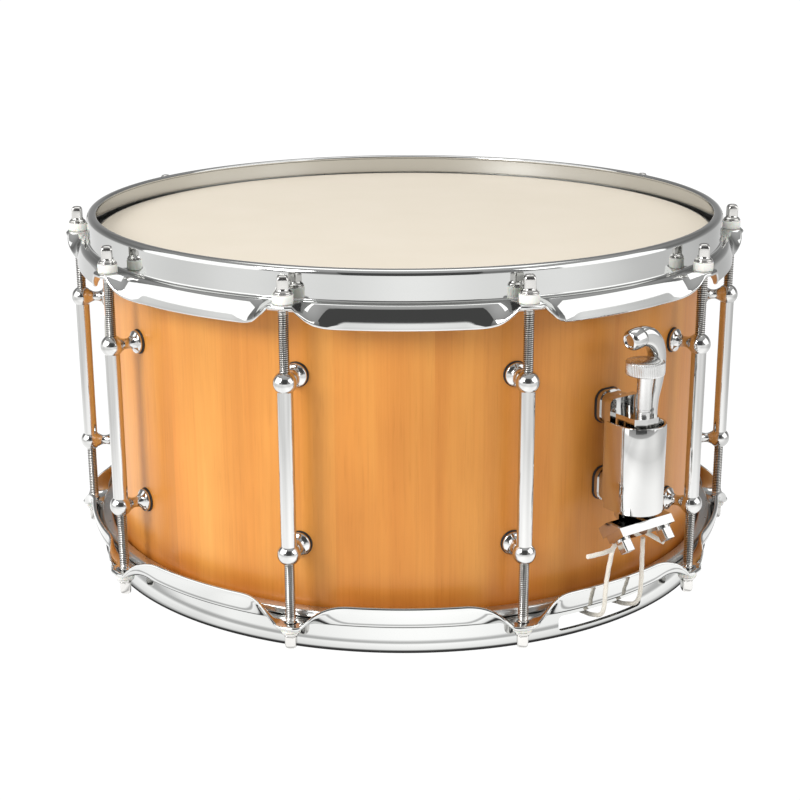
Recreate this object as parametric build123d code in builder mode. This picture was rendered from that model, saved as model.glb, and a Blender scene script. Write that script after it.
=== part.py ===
from build123d import *
import os
from math import cos, pi, radians, sin

os.makedirs("parts", exist_ok=True)

# Snare drum, 14 x 7 inch. Millimetres, +Z up, front towards -Y.
# The origin is on the drum's axis, on the surface that the lower hoop rests on.
# An angle round the drum is counted from the front (-Y) towards +X.

# ---- driving dimensions ----
TOTAL_HEIGHT = 202.0
MID_Z = TOTAL_HEIGHT / 2
SHELL_RADIUS = 176.2
SHELL_WALL = 7.5
SHELL_HALF = 88.9
BEARING_EDGE = 2.7
SNARE_BED_DEPTH = 1.5
SNARE_BED_RADIUS = 400.0
LUG_COUNT = 10
LUG_START = 18.0
LUG_RADIUS = 192.0
LUG_HALF = 45.0
BALL_RADIUS = 6.0
TUBE_RADIUS = 4.0
TUBE_BORE = 2.83
ROD_RADIUS = 2.75
HOOP_SHEET = 2.3
LIP_RADIUS = 177.8
COLLAR_RADIUS = 183.3
SKIRT_RADIUS = 188.0
EAR_RADIUS = 197.5
HOOP_TOP = 101.0
EAR_TOP = 85.0
SKIRT_EDGE = 73.4
FILM = 0.4
STRAINER_ANGLE = 36.0
BUTT_ANGLE = 216.0
BADGE_ANGLE = -72.0
BADGE_Z = 22.0
KNOB_AXIS = 203.0
PIVOT_X = 201.5
PIVOT_Z = -21.0
CORD_RADIUS = 1.2
WIRE_COUNT = 20
WIRE_PITCH = 2.05

SHELL_INNER = SHELL_RADIUS - SHELL_WALL
EAR_BOTTOM = EAR_TOP - HOOP_SHEET
FLESH_TOP = EAR_BOTTOM - 0.1
LUG_ANGLES = [LUG_START + 360 / LUG_COUNT * k for k in range(LUG_COUNT)]


def save(part, label):
    """Name a finished piece and write its STEP file."""
    part.label = label
    export_step(part, f"parts/{label}.step")


def at_angle(part, angle):
    """Place a piece made on the +X axis, about mid height, at an angle round the drum."""
    return Location((0, 0, MID_Z), (0, 0, angle - 90)) * part


def lug_positions():
    """The ten lug directions, for pieces made on the +X axis."""
    return PolarLocations(0, LUG_COUNT, start_angle=LUG_START - 90)


def mid_plane(height=0.0):
    """A level plane at a height above the middle of the drum."""
    return Plane.XY.offset(MID_Z + height)


# ---- shell ----
EDGE_FLAT = SHELL_HALF - BEARING_EDGE
INNER_CUT = SHELL_WALL - BEARING_EDGE
SCREW_HOLE = 2.4

STRAINER_SCREWS = (21.0, -21.0)
BUTT_SCREWS = (-42.0, -58.0)


def radial_holes(heights, radius):
    """Cutters for holes through the shell on the +X side."""
    with BuildPart() as tools:
        for height in heights:
            with BuildSketch(Plane.YZ.offset(SHELL_INNER - 5)):
                with Locations((0, height)):
                    Circle(radius)
            extrude(amount=SHELL_WALL + 10)
    return tools.part


with BuildPart() as bed_tool:
    with BuildSketch(Plane.YZ.offset(SHELL_INNER - 5)):
        with Locations((0, -SHELL_HALF - SNARE_BED_RADIUS + SNARE_BED_DEPTH)):
            Circle(SNARE_BED_RADIUS)
    extrude(amount=SHELL_WALL + 10)

VENT_RADIUS = 4.5
with BuildPart() as shell:
    with BuildSketch(Plane.XZ):
        with BuildLine():
            Polyline(
                (SHELL_RADIUS, MID_Z - EDGE_FLAT),
                (SHELL_RADIUS, MID_Z + EDGE_FLAT),
                (SHELL_RADIUS - BEARING_EDGE, MID_Z + SHELL_HALF),
                (SHELL_INNER, MID_Z + SHELL_HALF - INNER_CUT),
                (SHELL_INNER, MID_Z - SHELL_HALF + INNER_CUT),
                (SHELL_RADIUS - BEARING_EDGE, MID_Z - SHELL_HALF),
                close=True,
            )
        make_face()
    revolve(axis=Axis.Z)
    for lug_angle in LUG_ANGLES:
        add(at_angle(radial_holes((LUG_HALF, -LUG_HALF), SCREW_HOLE), lug_angle), mode=Mode.SUBTRACT)
    add(at_angle(radial_holes(STRAINER_SCREWS, SCREW_HOLE), STRAINER_ANGLE), mode=Mode.SUBTRACT)
    add(at_angle(radial_holes(BUTT_SCREWS, SCREW_HOLE), BUTT_ANGLE), mode=Mode.SUBTRACT)
    add(at_angle(radial_holes((BADGE_Z,), VENT_RADIUS), BADGE_ANGLE), mode=Mode.SUBTRACT)
    for bed_angle in (STRAINER_ANGLE, BUTT_ANGLE):
        add(at_angle(bed_tool.part, bed_angle), mode=Mode.SUBTRACT)
save(shell.part, "shell")

# ---- badge and air vent ----
BADGE_WIDTH = 33.0
BADGE_HEIGHT = 51.0
BADGE_THICK = 0.8
BADGE_BACK = SHELL_RADIUS + 0.05
with BuildPart() as badge:
    with BuildSketch(Plane.YZ.offset(SHELL_RADIUS - 6)):
        with Locations((0, BADGE_Z)):
            Ellipse(BADGE_WIDTH / 2, BADGE_HEIGHT / 2)
            Circle(VENT_RADIUS, mode=Mode.SUBTRACT)
    extrude(amount=12)
    with BuildSketch(Plane.XY.offset(BADGE_Z - BADGE_HEIGHT)):
        Circle(BADGE_BACK + BADGE_THICK)
        Circle(BADGE_BACK, mode=Mode.SUBTRACT)
    extrude(amount=2 * BADGE_HEIGHT, mode=Mode.INTERSECT)
save(at_angle(badge.part, BADGE_ANGLE), "badge")

GROMMET_BORE = 3.2
GROMMET_FRONT = BADGE_BACK + BADGE_THICK + 0.1
GROMMET_OUTLINE = [
    (SHELL_INNER - 1.2, GROMMET_BORE),
    (GROMMET_FRONT + 1.4, GROMMET_BORE),
    (GROMMET_FRONT + 1.4, 5.0),
    (GROMMET_FRONT, 6.2),
    (GROMMET_FRONT, 4.4),
    (SHELL_INNER - 0.2, 4.4),
    (SHELL_INNER - 0.2, 6.4),
    (SHELL_INNER - 1.2, 6.4),
]
with BuildPart() as vent_grommet:
    with BuildSketch(Plane.XZ):
        with BuildLine():
            Polyline(*GROMMET_OUTLINE, close=True)
        make_face()
    revolve(axis=Axis.X)
grommet_place = Location((0, 0, BADGE_Z)) * vent_grommet.part
save(at_angle(grommet_place, BADGE_ANGLE), "vent_grommet")


# ---- counter hoops ----
NOTCH_TOP = 11.0
NOTCH_BOTTOM = 30.0
NOTCH_MIDDLE = 16.5
ROD_HOLE = 3.5
GATE_HALF = 26.0
GATE_TOP = 88.0
GATE_BOTTOM = 96.5

with BuildPart() as notch_tool:
    with BuildSketch(Plane.YZ.offset(COLLAR_RADIUS + 1.2)):
        with BuildLine():
            right_side = Spline(
                (NOTCH_TOP, EAR_BOTTOM),
                (NOTCH_MIDDLE, (EAR_BOTTOM + SKIRT_EDGE) / 2),
                (NOTCH_BOTTOM, SKIRT_EDGE - 0.01),
                tangents=((1, 0), (1, 0)),
            )
            Polyline(
                right_side @ 1,
                (NOTCH_BOTTOM, SKIRT_EDGE - 5),
                (-NOTCH_BOTTOM, SKIRT_EDGE - 5),
                (-NOTCH_BOTTOM, SKIRT_EDGE - 0.01),
            )
            left_side = Spline(
                (-NOTCH_TOP, EAR_BOTTOM),
                (-NOTCH_MIDDLE, (EAR_BOTTOM + SKIRT_EDGE) / 2),
                (-NOTCH_BOTTOM, SKIRT_EDGE - 0.01),
                tangents=((-1, 0), (-1, 0)),
            )
            Line(left_side @ 0, right_side @ 0)
        make_face()
    extrude(amount=12)

with BuildPart() as ear:
    with BuildSketch(Plane.XY.offset(EAR_BOTTOM)):
        with BuildLine():
            FilletPolyline(
                (COLLAR_RADIUS - 1, -NOTCH_TOP - 3),
                (SKIRT_RADIUS - 1, -NOTCH_TOP - 1),
                (EAR_RADIUS, -8.0),
                (EAR_RADIUS, 8.0),
                (SKIRT_RADIUS - 1, NOTCH_TOP + 1),
                (COLLAR_RADIUS - 1, NOTCH_TOP + 3),
                radius=2.5,
                close=True,
            )
        make_face()
        with Locations((LUG_RADIUS, 0)):
            Circle(ROD_HOLE, mode=Mode.SUBTRACT)
    extrude(amount=HOOP_SHEET)

with BuildPart() as gate_tool:
    with BuildSketch(Plane.YZ.offset(LIP_RADIUS + 0.5)):
        with Locations((0, (GATE_TOP + GATE_BOTTOM) / 2)):
            RectangleRounded(2 * GATE_HALF, GATE_BOTTOM - GATE_TOP, 2.5)
    extrude(amount=8)


def make_hoop(gate_angles):
    """A hoop bent from sheet, lip upwards, about the middle plane; gates are windows."""
    inner = COLLAR_RADIUS - HOOP_SHEET
    with BuildPart() as hoop:
        with BuildSketch(Plane.XZ) as hoop_profile:
            with BuildLine():
                Polyline(
                    (LIP_RADIUS, HOOP_TOP),
                    (COLLAR_RADIUS, HOOP_TOP),
                    (COLLAR_RADIUS, EAR_TOP),
                    (SKIRT_RADIUS, EAR_TOP),
                    (SKIRT_RADIUS, SKIRT_EDGE),
                    (SKIRT_RADIUS - HOOP_SHEET, SKIRT_EDGE),
                    (SKIRT_RADIUS - HOOP_SHEET, EAR_BOTTOM),
                    (inner, EAR_BOTTOM),
                    (inner, HOOP_TOP - HOOP_SHEET),
                    (LIP_RADIUS, HOOP_TOP - HOOP_SHEET),
                    close=True,
                )
            make_face()
            corners = hoop_profile.vertices()
            outer_bends = corners.filter_by(
                lambda v: v.X > COLLAR_RADIUS - 0.1 and v.Z > EAR_TOP - 0.1
            )
            fillet(outer_bends, radius=1.5)
        revolve(axis=Axis.Z)
        with PolarLocations(0, LUG_COUNT, start_angle=LUG_START - 90):
            add(notch_tool.part, mode=Mode.SUBTRACT)
        with PolarLocations(0, LUG_COUNT, start_angle=LUG_START - 90):
            add(ear.part)
        for gate_angle in gate_angles:
            gate = Rot(0, 0, gate_angle - 90) * gate_tool.part
            add(gate, mode=Mode.SUBTRACT)
    return hoop.part


save(Pos(0, 0, MID_Z) * make_hoop([]), "top_hoop")
# The lower hoop is the same hoop turned over: a turn about X takes an angle a to 180 - a.
turned = make_hoop([180 - STRAINER_ANGLE, 180 - BUTT_ANGLE])
save(Location((0, 0, MID_Z), (180, 0, 0)) * turned, "bottom_hoop")


# ---- heads ----
RING_INNER = 178.45
RING_OUTER = 184.5
RING_BOTTOM = 78.3
FILM_COLLAR = 0.5
SNARE_FILM = 0.3
FILM_Z = SHELL_HALF + 0.05


def make_head(film):
    """A drumhead's film, level on the bearing edge; its collar belongs to the flesh hoop."""
    with BuildPart() as head:
        with BuildSketch(Plane.XY.offset(FILM_Z)):
            Circle(RING_INNER - FILM_COLLAR)
        extrude(amount=film)
    return head.part


with BuildPart() as flesh_hoop:
    with BuildSketch(Plane.XZ):
        with Locations(((RING_INNER + RING_OUTER) / 2, (RING_BOTTOM + FLESH_TOP) / 2)):
            RectangleRounded(RING_OUTER - RING_INNER, FLESH_TOP - RING_BOTTOM, 1.2)
        collar_height = FILM_Z + FILM - RING_BOTTOM - 2
        with Locations((RING_INNER - FILM_COLLAR / 2 + 0.02, RING_BOTTOM + 2 + collar_height / 2)):
            Rectangle(FILM_COLLAR, collar_height)
    revolve(axis=Axis.Z)

UPPER = Location((0, 0, MID_Z))
LOWER = Location((0, 0, MID_Z), (180, 0, 0))
save(UPPER * make_head(FILM), "batter_head")
save(LOWER * make_head(SNARE_FILM), "snare_head")
save(UPPER * flesh_hoop.part, "batter_head_ring")
save(LOWER * flesh_hoop.part, "snare_head_ring")

# ---- tube lugs ----
GASKET = 0.8
POST_BACK = SHELL_RADIUS + GASKET
FOOT_RADIUS = 6.25
SCREW_RADIUS = 2.0
SCREW_DEPTH = 6.0
GASKET_BORE = SCREW_RADIUS + 0.3
HEX_RADIUS = 4.0
HEX_HEIGHT = 3.2
WASHER_RADIUS = 5.5
TUBE_HALF = LUG_HALF + 4.3

with BuildPart() as post:
    with BuildSketch(Plane.XZ):
        with BuildLine():
            Polyline(
                (POST_BACK, 0),
                (POST_BACK, FOOT_RADIUS - 0.4),
                (POST_BACK + 0.5, FOOT_RADIUS),
                (POST_BACK + 1.6, FOOT_RADIUS),
            )
            Spline(
                (POST_BACK + 1.6, FOOT_RADIUS),
                (POST_BACK + 3.4, 4.2),
                (POST_BACK + 6.4, 2.8),
                (POST_BACK + 9.0, 3.0),
                (LUG_RADIUS - 4.6, 3.85),
                tangents=((0.5, -0.5), (1, 0.6)),
            )
            Polyline((LUG_RADIUS - 4.6, 3.85), (LUG_RADIUS - 2.0, 3.85), (LUG_RADIUS - 2.0, 0), (POST_BACK, 0))
        make_face()
    revolve(axis=Axis.X)
    with Locations((LUG_RADIUS, 0, 0)):
        Sphere(BALL_RADIUS)
    with BuildSketch(Plane.YZ.offset(POST_BACK)):
        Circle(SCREW_RADIUS)
    extrude(amount=SCREW_DEPTH + 0.5, mode=Mode.SUBTRACT)
    with BuildSketch(Plane.XY.offset(-10)):
        with Locations((LUG_RADIUS, 0)):
            Circle(TUBE_RADIUS + 0.02)
    extrude(amount=20, mode=Mode.SUBTRACT)

with BuildPart() as lug_posts:
    for height in (LUG_HALF, -LUG_HALF):
        with Locations((0, 0, MID_Z + height)):
            with lug_positions():
                add(post.part)
save(lug_posts.part, "lug_posts")

with BuildPart() as lug_tubes:
    with BuildSketch(mid_plane(-TUBE_HALF)):
        with PolarLocations(LUG_RADIUS, LUG_COUNT, start_angle=LUG_START - 90):
            Circle(TUBE_RADIUS)
            Circle(TUBE_BORE, mode=Mode.SUBTRACT)
    extrude(amount=2 * TUBE_HALF)
save(lug_tubes.part, "lug_tubes")


def make_gasket(width, height, corner):
    """A black pad between a foot and the round shell, on the +X side."""
    with BuildPart() as gasket:
        with BuildSketch(Plane.YZ.offset(SHELL_RADIUS - 2)):
            RectangleRounded(width, height, corner)
            Circle(GASKET_BORE, mode=Mode.SUBTRACT)
        extrude(amount=2 + GASKET)
        with BuildSketch(Plane.XY.offset(-height)):
            Circle(SHELL_RADIUS + 0.05)
        extrude(amount=2 * height, mode=Mode.SUBTRACT)
    return gasket.part


def make_round_gasket(radius):
    """A round black washer under a foot."""
    with BuildPart() as gasket:
        with BuildSketch(Plane.YZ.offset(SHELL_RADIUS - 2)):
            Circle(radius)
            Circle(GASKET_BORE, mode=Mode.SUBTRACT)
        extrude(amount=2 + GASKET)
        with BuildSketch(Plane.XY.offset(-radius - 1)):
            Circle(SHELL_RADIUS + 0.05)
        extrude(amount=2 * radius + 2, mode=Mode.SUBTRACT)
    return gasket.part


def make_screw(depth):
    """A hexagon screw put in from inside the shell, on the +X side."""
    head_back = SHELL_INNER - 4.7
    with BuildPart() as screw:
        with BuildSketch(Plane.YZ.offset(head_back)):
            RegularPolygon(radius=HEX_RADIUS, side_count=6)
        extrude(amount=HEX_HEIGHT)
        with BuildSketch(Plane.YZ.offset(head_back)):
            Circle(SCREW_RADIUS)
        extrude(amount=POST_BACK + depth - head_back)
    return screw.part


with BuildPart() as screw_washer:
    with BuildSketch(Plane.YZ.offset(SHELL_INNER - 1.4)):
        Circle(WASHER_RADIUS)
        Circle(SCREW_RADIUS + 0.2, mode=Mode.SUBTRACT)
    extrude(amount=1.0)


def around_lugs(part):
    """Twenty copies of a lug's piece, at both ends of the ten lugs."""
    with BuildPart() as group:
        for height in (LUG_HALF, -LUG_HALF):
            with Locations((0, 0, MID_Z + height)):
                with lug_positions():
                    add(part)
    return group.part


save(around_lugs(make_round_gasket(FOOT_RADIUS + 0.35)), "lug_gaskets")
save(around_lugs(make_screw(SCREW_DEPTH)), "lug_screws")
save(around_lugs(screw_washer.part), "lug_screw_washers")

# ---- tension rods and their washers ----
NYLON_TOP = 4.4
NYLON_LOWER = 2.2
STEEL_WASHER = 0.8
NYLON_RADIUS = 5.25
STEEL_RADIUS = 5.0
ROD_END = 35.0
BELL_RADIUS = 4.6
COLLAR_HEIGHT = 1.6
KEY_HEIGHT = 7.15
KEY_SIZE = 6.1


def make_washers(start, height, radius):
    """Ten ring washers on the rods, about the middle plane."""
    with BuildPart() as washers:
        with BuildSketch(Plane.XY.offset(start)):
            with PolarLocations(LUG_RADIUS, LUG_COUNT, start_angle=LUG_START - 90):
                Circle(radius)
                Circle(ROD_RADIUS + 0.08, mode=Mode.SUBTRACT)
        extrude(amount=height)
    return washers.part


def make_rod(nylon):
    """A tension rod with its bell collar and square key head, on the Z axis."""
    seat = EAR_TOP + nylon + STEEL_WASHER + 0.05
    with BuildPart() as rod:
        with BuildSketch(Plane.XZ):
            with BuildLine():
                Polyline(
                    (0, ROD_END),
                    (ROD_RADIUS - 0.8, ROD_END),
                    (ROD_RADIUS, ROD_END + 0.8),
                    (ROD_RADIUS, seat),
                    (BELL_RADIUS, seat),
                    (BELL_RADIUS, seat + 0.5),
                    (3.3, seat + COLLAR_HEIGHT),
                    (0, seat + COLLAR_HEIGHT),
                    close=True,
                )
            make_face()
        revolve(axis=Axis.Z)
        with BuildSketch(Plane.XY.offset(seat + COLLAR_HEIGHT)):
            RectangleRounded(KEY_SIZE, KEY_SIZE, 0.7)
        extrude(amount=KEY_HEIGHT)
        fillet(rod.faces().sort_by(Axis.Z)[-1].edges(), radius=1.6)
    return rod.part


def both_ends(upper, lower):
    """One group from pieces for the top and pieces for the bottom, both made upright."""
    with BuildPart() as group:
        add(UPPER * upper)
        add(LOWER * lower)
    return group.part


save(
    both_ends(
        make_washers(EAR_TOP, NYLON_TOP, NYLON_RADIUS),
        make_washers(EAR_TOP, NYLON_LOWER, NYLON_RADIUS),
    ),
    "rod_nylon_washers",
)
save(
    both_ends(
        make_washers(EAR_TOP + NYLON_TOP, STEEL_WASHER, STEEL_RADIUS),
        make_washers(EAR_TOP + NYLON_LOWER, STEEL_WASHER, STEEL_RADIUS),
    ),
    "rod_steel_washers",
)
top_rod = make_rod(NYLON_TOP)
lower_rod = make_rod(NYLON_LOWER)
for number, rod_angle in enumerate(LUG_ANGLES, start=1):
    rod_x = LUG_RADIUS * sin(radians(rod_angle))
    rod_y = -LUG_RADIUS * cos(radians(rod_angle))
    save(Pos(rod_x, rod_y, MID_Z) * top_rod, f"tension_rod_top_{number:02d}")
    upside_down = Location((rod_x, rod_y, MID_Z), (180, 0, 0))
    save(upside_down * lower_rod, f"tension_rod_bottom_{number:02d}")

# ---- strainer: made on the +X axis, X outwards, Y along the shell, Z from mid height ----
BASE_BACK = POST_BACK + 9.5
BASE_FRONT = BASE_BACK + 4.0
BASE_FOOT_WIDTH = 16.0
BASE_FOOT_HEIGHT = 17.6
BASE_FOOT_CORNER = 5.5
BASE_POST = 14.6
BASE_HEIGHT = 57.0
CHEEK_IN = 8.6
CHEEK_OUT = 11.0
CHEEK_TIP = 4.0
SHAFT_RADIUS = 3.8
BLOCK_BOTTOM = 15.0
BLOCK_TOP = 22.0
PIN_RADIUS = 2.0
COVER_HALF = 13.5

with BuildPart() as strainer_base:
    for height in STRAINER_SCREWS:
        with BuildSketch(Plane.YZ.offset(POST_BACK)):
            with Locations((0, height)):
                RectangleRounded(BASE_FOOT_WIDTH, BASE_FOOT_HEIGHT, BASE_FOOT_CORNER)
        extrude(amount=2.5)
        with BuildSketch(Plane.YZ.offset(POST_BACK + 2.5)):
            with Locations((0, height)):
                RectangleRounded(BASE_POST, BASE_POST + 1.6, BASE_FOOT_CORNER - 1)
        extrude(amount=BASE_BACK - POST_BACK - 2.5)
    with BuildSketch(Plane.YZ.offset(BASE_BACK)):
        with Locations((0, 0.5)):
            RectangleRounded(2 * CHEEK_OUT, BASE_HEIGHT, 3.0)
    extrude(amount=BASE_FRONT - BASE_BACK)
    with BuildSketch(Plane.XZ.offset(-CHEEK_OUT)):
        with BuildLine():
            Polyline(
                (BASE_FRONT - 1, 4.0),
                (BASE_FRONT + 5, 4.0),
                (PIVOT_X + CHEEK_TIP, PIVOT_Z),
                (PIVOT_X, PIVOT_Z - CHEEK_TIP),
                (BASE_FRONT - 1, PIVOT_Z - CHEEK_TIP),
                close=True,
            )
        make_face()
        with Locations((PIVOT_X, PIVOT_Z)):
            Circle(CHEEK_TIP)
        with Locations((PIVOT_X, PIVOT_Z)):
            Circle(PIN_RADIUS, mode=Mode.SUBTRACT)
    extrude(amount=2 * CHEEK_OUT)
    with BuildSketch(Plane.XY.offset(PIVOT_Z - 10)):
        with Locations((BASE_FRONT + 20, 0)):
            Rectangle(40, 2 * CHEEK_IN)
    extrude(amount=36, mode=Mode.SUBTRACT)
    with BuildSketch(Plane.XY.offset(BLOCK_BOTTOM)):
        with BuildLine():
            FilletPolyline(
                (BASE_FRONT - 1, -9.0),
                (KNOB_AXIS + 3.5, -9.0),
                (KNOB_AXIS + 7.0, -4.0),
                (KNOB_AXIS + 7.0, 4.0),
                (KNOB_AXIS + 5.0, 5.8),
                (BASE_FRONT - 1, 5.8),
                radius=0.8,
                close=True,
            )
        make_face()
        with Locations((KNOB_AXIS, 0)):
            Circle(SHAFT_RADIUS + 0.08, mode=Mode.SUBTRACT)
    extrude(amount=BLOCK_TOP - BLOCK_BOTTOM)
    for height in STRAINER_SCREWS:
        with BuildSketch(Plane.YZ.offset(POST_BACK)):
            with Locations((0, height)):
                Circle(SCREW_RADIUS)
        extrude(amount=SCREW_DEPTH + 0.5, mode=Mode.SUBTRACT)
save(at_angle(strainer_base.part, STRAINER_ANGLE), "strainer_base")


def pair(part, heights):
    """Copies of a piece at several heights."""
    with BuildPart() as group:
        with Locations(*[(0, 0, height) for height in heights]):
            add(part)
    return group.part


base_gasket = make_gasket(BASE_FOOT_WIDTH + 0.8, BASE_FOOT_HEIGHT + 0.8, BASE_FOOT_CORNER + 0.4)
base_screw = make_screw(SCREW_DEPTH)
save(at_angle(pair(base_gasket, STRAINER_SCREWS), STRAINER_ANGLE), "strainer_gaskets")
save(at_angle(pair(base_screw, STRAINER_SCREWS), STRAINER_ANGLE), "strainer_screws")

with BuildPart() as strainer_lever_pin:
    for side in (1, -1):
        with BuildSketch(Plane.XZ.offset(-side * CHEEK_IN)):
            with Locations((PIVOT_X, PIVOT_Z)):
                Circle(PIN_RADIUS)
        extrude(amount=-side * (COVER_HALF - CHEEK_IN - 0.2))
save(at_angle(strainer_lever_pin.part, STRAINER_ANGLE), "strainer_lever_pin")

# The lever: a half-round cover over the base, and a stem that hooks over the knob.
COVER_WALL = 1.5
COVER_BACK = 190.6
COVER_ROUND = 201.0
COVER_TOP = 18.0
COVER_BOTTOM = -28.5
STEM_X = 198.0
STEM_DEPTH = 9.0
BULB = (-2.8, 61.2)
BULB_RADIUS = 5.5

with BuildPart() as strainer_lever:
    with BuildSketch(Plane.XY.offset(COVER_BOTTOM)):
        with Locations((COVER_ROUND, 0)):
            Circle(COVER_HALF)
        with Locations(((COVER_BACK + COVER_ROUND) / 2, 0)):
            Rectangle(COVER_ROUND - COVER_BACK, 2 * COVER_HALF)
        with Locations((COVER_ROUND, 0)):
            Circle(COVER_HALF - COVER_WALL, mode=Mode.SUBTRACT)
        with Locations(((COVER_BACK + COVER_ROUND) / 2 - 8, 0)):
            Rectangle(COVER_ROUND - COVER_BACK + 16, 2 * (COVER_HALF - COVER_WALL), mode=Mode.SUBTRACT)
    extrude(amount=COVER_TOP - COVER_BOTTOM)
    with BuildSketch(Plane.YZ.offset(STEM_X)):
        with BuildLine():
            Polyline((12.6, 8.0), (6.4, 8.0), (6.4, 26.0))
            Spline((6.4, 26.0), (7.6, 34.0), (10.6, 41.0), tangents=((0, 1), (0.3, 1)))
            Polyline((10.6, 41.0), (10.6, 52.0))
            Spline(
                (10.6, 52.0),
                (8.2, 56.4),
                (4.0, 58.0),
                (BULB[0], BULB[1] - 3.5),
                tangents=((0, 1), (-1, 0)),
            )
            Line((BULB[0], BULB[1] - 3.5), (BULB[0], BULB[1] + 4.6))
            Spline(
                (BULB[0], BULB[1] + 4.6),
                (5.0, 66.0),
                (12.0, 62.6),
                (15.6, 54.0),
                (15.6, 41.0),
                tangents=((1, 0.2), (0, -1)),
            )
            Spline((15.6, 41.0), (13.4, 34.0), (10.4, 25.0), tangents=((0, -1), (0, -1)))
            Polyline((10.4, 25.0), (10.4, 18.0), (12.6, 16.0), (12.6, 8.0))
        make_face()
    extrude(amount=STEM_DEPTH / 2, both=True)
    with Locations((STEM_X, BULB[0], BULB[1])):
        Sphere(BULB_RADIUS)
    with BuildSketch(Plane.XZ.offset(-COVER_HALF - 1)):
        with Locations((PIVOT_X, PIVOT_Z)):
            Circle(PIN_RADIUS + 0.06)
    extrude(amount=2 * COVER_HALF + 2, mode=Mode.SUBTRACT)
save(at_angle(strainer_lever.part, STRAINER_ANGLE), "strainer_lever")

# The carriage that the lever lowers, the knob with its screw, and the clamp that it adjusts.
KNOB_SCREW_RADIUS = 2.5
SLIDE_DEPTH = 16.0
SLIDE_WIDTH = 12.0
SLIDE_HALF = 8.0
with BuildPart() as strainer_slide:
    with BuildSketch(Plane.XY.offset(-SLIDE_HALF)):
        with Locations((KNOB_AXIS - 3.0, 0)):
            RectangleRounded(SLIDE_DEPTH, SLIDE_WIDTH, 1.5)
        with Locations((KNOB_AXIS, 0)):
            Circle(KNOB_SCREW_RADIUS + 0.08, mode=Mode.SUBTRACT)
    extrude(amount=2 * SLIDE_HALF)
save(at_angle(strainer_slide.part, STRAINER_ANGLE), "strainer_slide")

KNOB_RADIUS = 10.0
KNOB_HEIGHT = 7.2
SHAFT_BOTTOM = SLIDE_HALF + 0.1
KNOB_BOTTOM = 43.5
with BuildPart() as strainer_knob:
    with BuildSketch(Plane.XY.offset(-17.5)):
        with Locations((KNOB_AXIS, 0)):
            Circle(KNOB_SCREW_RADIUS)
    extrude(amount=30)
    with BuildSketch(Plane.XY.offset(SHAFT_BOTTOM)):
        with Locations((KNOB_AXIS, 0)):
            Circle(SHAFT_RADIUS)
    extrude(amount=36)
    with BuildSketch(Plane.XY.offset(KNOB_BOTTOM)):
        with Locations((KNOB_AXIS, 0)):
            Circle(KNOB_RADIUS)
    extrude(amount=KNOB_HEIGHT)
    rim = strainer_knob.edges().filter_by(GeomType.CIRCLE).filter_by(lambda e: e.radius > 9)
    fillet(rim, radius=0.8)
save(at_angle(strainer_knob.part, STRAINER_ANGLE), "strainer_knob")

CLAMP_HALF = 18.0
CLAMP_MIDDLE = -2.5
CLAMP_END = CLAMP_HALF + CLAMP_MIDDLE
JAW_TILT = 39.0
SPLIT_BACK = (198.7, -41.4)
JAW_ALONG = (cos(radians(JAW_TILT)), sin(radians(JAW_TILT)))
JAW_OUT = (sin(radians(JAW_TILT)), -cos(radians(JAW_TILT)))


def jaw_point(along, out):
    """A point in the clamp's section: along the jaws' split, and out from it."""
    return (
        SPLIT_BACK[0] + along * JAW_ALONG[0] + out * JAW_OUT[0],
        SPLIT_BACK[1] + along * JAW_ALONG[1] + out * JAW_OUT[1],
    )


STRAP_BACK = 190.9
STRAP_FRONT = 194.4
with BuildPart() as snare_clamp_block:
    with BuildSketch(Plane.XZ.offset(-CLAMP_END)):
        with BuildLine():
            Polyline(
                jaw_point(0, 0),
                jaw_point(15.0, 0),
                (200.8, -31.9),
                jaw_point(0, -6.0),
                close=True,
            )
        make_face()
    extrude(amount=2 * CLAMP_HALF)
    with BuildSketch(Plane.XZ.offset(-6)):
        with BuildLine():
            Polyline(
                (STRAP_BACK, -11.0),
                (KNOB_AXIS + 4.5, -11.0),
                (KNOB_AXIS + 4.5, -16.0),
                (STRAP_FRONT, -16.0),
                (STRAP_FRONT, -36.0),
                (196.4, -36.5),
                (195.6, -38.0),
                (STRAP_BACK, -34.0),
                close=True,
            )
        make_face()
    extrude(amount=12)
    with BuildSketch(Plane.XY.offset(-20)):
        with Locations((KNOB_AXIS, 0)):
            Circle(KNOB_SCREW_RADIUS + 0.08)
    extrude(amount=12, mode=Mode.SUBTRACT)
save(at_angle(snare_clamp_block.part, STRAINER_ANGLE), "snare_clamp_block")

JAW_GAP = 0.05
CLAMP_SCREW_T = 14.0
KEY_SCREW_COLLAR = 3.8
KEY_SCREW_SIZE = 6.0
KEY_SCREW_HEIGHT = 7.0
with BuildPart() as snare_clamp_plate:
    with BuildSketch(Plane.XZ.offset(-CLAMP_END)):
        with BuildLine():
            Polyline(
                jaw_point(3.0, JAW_GAP),
                jaw_point(15.0, JAW_GAP),
                jaw_point(15.0, 4.6),
                jaw_point(4.0, 4.6),
                jaw_point(3.0, 3.6),
                close=True,
            )
        make_face()
    extrude(amount=2 * CLAMP_HALF)
save(at_angle(snare_clamp_plate.part, STRAINER_ANGLE), "snare_clamp_plate")

with BuildPart() as snare_clamp_screws:
    for side in (1, -1):
        seat_point = jaw_point(9.0, 4.65)
        screw_plane = Plane(
            origin=(seat_point[0], CLAMP_MIDDLE + side * CLAMP_SCREW_T, seat_point[1]),
            x_dir=(0, 1, 0),
            z_dir=(JAW_OUT[0], 0, JAW_OUT[1]),
        )
        with BuildSketch(screw_plane):
            Circle(KEY_SCREW_COLLAR)
        extrude(amount=1.2)
        with BuildSketch(screw_plane):
            RectangleRounded(KEY_SCREW_SIZE, KEY_SCREW_SIZE, 1.0)
        extrude(amount=KEY_SCREW_HEIGHT)
save(at_angle(snare_clamp_screws.part, STRAINER_ANGLE), "snare_clamp_screws")

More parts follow.
